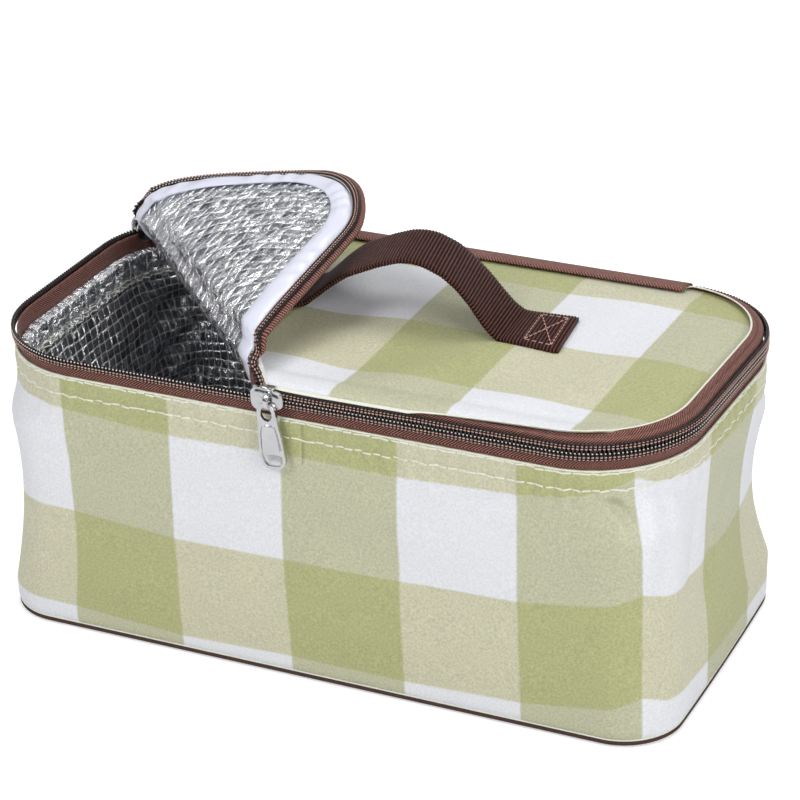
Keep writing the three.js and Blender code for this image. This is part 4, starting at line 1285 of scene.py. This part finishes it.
# Each pair of rows: pitch, lift off the sheet, unevenness, size of a stitch, and first seed
sewing = dict(hemStitches=(4.0, 0.1, 0.25, (3.7, 0.45, 0.7), 0),
              liningStitches=(3.2, -0.45, 0.1, (2.6, 0.35, 0.5), 5))


def hemStitches():
    def onCloth(along, z):
        return outerPlace(along / roundLength, (z - body["foot"]) / bodyRise)

    def onHem(along, z):
        share = (hem["top"] - z) * (2 - hem["turnShare"]) / hem["fall"] + hem["turnShare"]
        return hemPlace(along / roundLength, share / 2)
    for name, place, heights in (("hemStitches", onCloth, [row[0] for row in body["rows"]]),
                                 ("liningStitches", onHem, (hem["stitch"], hem["secondStitch"]))):
        pitch, lift, jitter, size, seed = sewing[name]
        frames = []
        for row, z in enumerate(heights):
            frames += sewnRow(place, np.arange(0, roundLength, pitch), z, lift, jitter, row + seed)
        dress(stamped(name, "thread", blockStamp(size, (0, 0, 0)), frames), "tub")


# Blocks have a size and a place; the dome is made of rings, each so wide and so high
slider = dict(long=7.0, wide=5.3, narrow=3.7, plate=1.3, outer=-2.5, inner=3.2, innerTop=3.9,
              blocks=(((9.0, 2.95, 1.05), (-1.6, -0.37, -4.5)),
                      ((9.0, 2.95, 1.05), (-1.6, -0.37, 4.5)), ((2.4, 5.8, 2.2), (-5.6, 1.0, 0))),
              crownWide=1.9, crownThick=1.3, crownReach=3.8, crownInside=1.1, crownAt=(1.0, 0.2),
              dome=((0.5, 0.0), (0.7, 0.3), (0.9, 0.25), (0.9, 0.1)), rounded=0.28)
pull = dict(long=28.0, top=3.9, foot=5.5, cap=4.6, thick=1.5, eyeWide=5.0, eyeLong=6.0, eyeTop=1.7,
            rim=1.0, groove=1.0, depth=0.7, panel=(9.0, 26.9), raised=(10.0, 21.0),
            slot=(22.2, 26.6), tilt=6.0, pivot=(0, -3.75, -0.7), rounded=0.16)
zips = dict(front=dict(place=(-13.0, -75.5), onCorner=False, mirror=1, lean=0.0),
            rear=dict(place=(-141.307, 55.664), onCorner=True, mirror=-1, lean=9.0))


# A flat plate whose outline is outline(turn), turn going round once, thickness along y
def plate(outline, low, high, points=56):
    bm = bmesh.new()
    ring = bmesh.ops.create_circle(bm, cap_ends=True, segments=points, radius=1)["verts"]
    for vert in ring:
        x, z = outline(math.atan2(vert.co.y, vert.co.x))
        vert.co = Vector((x, low, z))
    grown = bmesh.ops.extrude_face_region(bm, geom=bm.faces[:])["geom"]
    bmesh.ops.translate(bm, verts=[item for item in grown if isinstance(item, bmesh.types.BMVert)],
                        vec=(0, high - low, 0))
    bmesh.ops.recalc_face_normals(bm, faces=bm.faces)
    return bm


def squarish(turn, halfX, halfZ, power=4.0):
    c, s = math.cos(turn), math.sin(turn)
    size = (abs(c) ** power + abs(s) ** power) ** (-1 / power)
    return halfX * c * size, halfZ * s * size


def sliderOutline(turn, top=None):
    x, z = squarish(turn, slider["long"], slider["wide"], 3.2)
    share = (x + slider["long"]) / (2 * slider["long"])
    z *= 1 + (slider["narrow"] / slider["wide"] - 1) * smooth(share)
    return x, (min(z, top) if top is not None else z)


def pullHalf(along):
    return pull["top"] + (pull["foot"] - pull["top"]) * smooth(along / (pull["long"] - pull["cap"]))


def pullOutline(turn):
    along = pull["long"] / 2 * (1 - math.cos(turn))
    top, cap = pull["top"], pull["cap"]
    half = pullHalf(along)
    if along < top:
        half = half * math.sqrt(max(0.0, 1 - ((top - along) / top) ** 2))
    if along > pull["long"] - cap:
        half = half * max(0.0, 1 - ((along - pull["long"] + cap) / cap) ** 2.6) ** (1 / 2.6)
    return math.copysign(half, math.sin(turn)), -along


# A shape inside the pull between two distances down it, a little narrower than the pull
def within(turn, ends, narrower, power=6.0):
    x, z = squarish(turn, 1.0, 1.0, power)
    along = (ends[0] + ends[1]) / 2 - z * (ends[1] - ends[0]) / 2
    return x * (pullHalf(along) - narrower), -along


def joinInto(target, source):
    mesh = meshFrom("part", source)
    target.from_mesh(mesh)
    bpy.data.meshes.remove(mesh)


# Cuts a tool's shape out of a piece and removes the tool
def cutOut(piece, bm):
    mesh = meshFrom("cutter", bm)
    tool = addObject("cutter", mesh)
    made = piece.modifiers.new("cut", "BOOLEAN")
    made.operation = "DIFFERENCE"
    made.solver = "EXACT"
    made.object = tool
    settle(piece)
    bpy.data.objects.remove(tool)
    bpy.data.meshes.remove(mesh)


def roundEdges(piece, width, segments=2):
    made = piece.modifiers.new("edges", "BEVEL")
    made.width = width
    made.segments = segments
    made.limit_method = "ANGLE"
    made.angle_limit = math.radians(40)
    settle(piece)
    for polygon in piece.data.polygons:
        polygon.use_smooth = True


# From the zip's own frame, in millimetres, into the model
def seat(piece, rule, local=Matrix.Identity(4)):
    outward = np.array([0.0, -1.0])
    if rule["onCorner"]:
        outward = unit(np.array(rule["place"]) - [-straightX, straightY])
    turn = Matrix.Rotation(math.atan2(outward[0], -outward[1]), 4, "Z")
    into = Matrix.Translation(Vector((*rule["place"], bag["zipHeight"])) * mm) @ turn
    into = into @ Matrix.Scale(rule["mirror"], 4, (1, 0, 0)) @ Matrix.Scale(mm, 4)
    piece.data.transform(into @ local)
    faceOutwards(piece.data)


def sliderPiece(name, rule, solid):
    bm = plate(sliderOutline, slider["outer"], slider["outer"] + slider["plate"])
    bm.faces.ensure_lookup_table()
    front = [face for face in bm.faces if face.normal.y < -0.9]
    for wide, high in slider["dome"]:
        bmesh.ops.inset_region(bm, faces=front, thickness=wide, depth=high, use_even_offset=True)
    joinInto(bm, plate(lambda turn: sliderOutline(turn, slider["innerTop"]), slider["inner"],
                       slider["inner"] + slider["plate"]))
    for size, offset in slider["blocks"]:                     # two flanges and the post
        joinInto(bm, blockStamp(size, offset))
    crown = bmesh.new()
    made = bmesh.ops.create_grid(crown, x_segments=1, y_segments=1, size=0.5)["verts"]
    radius = slider["wide"] - slider["crownInside"] - slider["crownThick"] / 2
    for vert in made:
        x, y = vert.co.xy
        vert.co = Vector((x * slider["crownWide"], 0, radius + y * slider["crownThick"]))
    bmesh.ops.spin(crown, geom=crown.verts[:] + crown.edges[:] + crown.faces[:], cent=(0, 0, 0),
                   axis=(1, 0, 0), angle=math.pi, steps=20, use_merge=False)
    bmesh.ops.recalc_face_normals(crown, faces=crown.faces)
    side = -1 if sum(vert.co.y for vert in crown.verts) > 0 else 1
    flatter = slider["crownReach"] / (radius + slider["crownThick"] / 2)
    bmesh.ops.scale(crown, verts=crown.verts, vec=(1, side * flatter, 1))
    x, y = slider["crownAt"]
    bmesh.ops.translate(crown, verts=crown.verts, vec=(x, slider["outer"] + y, 0))
    bmesh.ops.recalc_face_normals(crown, faces=crown.faces)
    joinInto(bm, crown)
    piece = link(meshFrom(name, bm), "nickel")
    roundEdges(piece, slider["rounded"])
    seat(piece, rule)
    dress(piece, solid, solid)


def pullPiece(name, rule, solid):
    half = pull["thick"] / 2
    piece = link(meshFrom(name, plate(pullOutline, -half, half, 72)), "nickel")
    eye = pull["eyeTop"] + pull["eyeLong"] / 2
    cutOut(piece, plate(lambda turn: (pull["eyeWide"] / 2 * math.cos(turn),
                                      pull["eyeLong"] / 2 * math.sin(turn) - eye), -3, 3, 32))
    deep = half - pull["depth"]
    for low, high in ((-3, -deep), (deep, 3)):
        cutOut(piece, plate(lambda turn: within(turn, pull["panel"], pull["rim"], 4.0),
                            low, high, 48))
    cutOut(piece, plate(lambda turn: within(turn, pull["slot"], pull["rim"] + 0.3, 2.6), -3, 3, 36))
    roundEdges(piece, pull["rounded"])
    bm = opened(piece.data)
    edge = pull["rim"] + pull["groove"]
    joinInto(bm, plate(lambda turn: within(turn, pull["raised"], edge, 9.0),
                       0.1 - half, half - 0.1, 48))
    bm.to_mesh(piece.data)
    bm.free()
    local = Matrix.Translation(pull["pivot"])
    local = local @ Matrix.Rotation(math.radians(-pull["tilt"]), 4, "Y")
    local = local @ Matrix.Rotation(math.radians(-rule["lean"]), 4, "X")
    seat(piece, rule, local)
    dress(piece, solid, solid)


makeCamera()
makeStudio()
makeFloor()
print("stage ready")
outerWall()
for name, rule in cords.items():
    ringTube(name, *rule)
bodyLayers()
liningHem()
seamStrip()
print("body made")
bodyTape()
lidLayers()
lidTrim()
clothEdge()
print("lid made")
zipCoils()
print("zip made")
hingeTape()
handleStrap()
hemStitches()
print("strap and sewing made")
for where, rule in zips.items():
    sliderPiece(where + "Slider", rule, where + "_slider")
    pullPiece(where + "Pull", rule, where + "_pull")
print("sliders and pulls made")
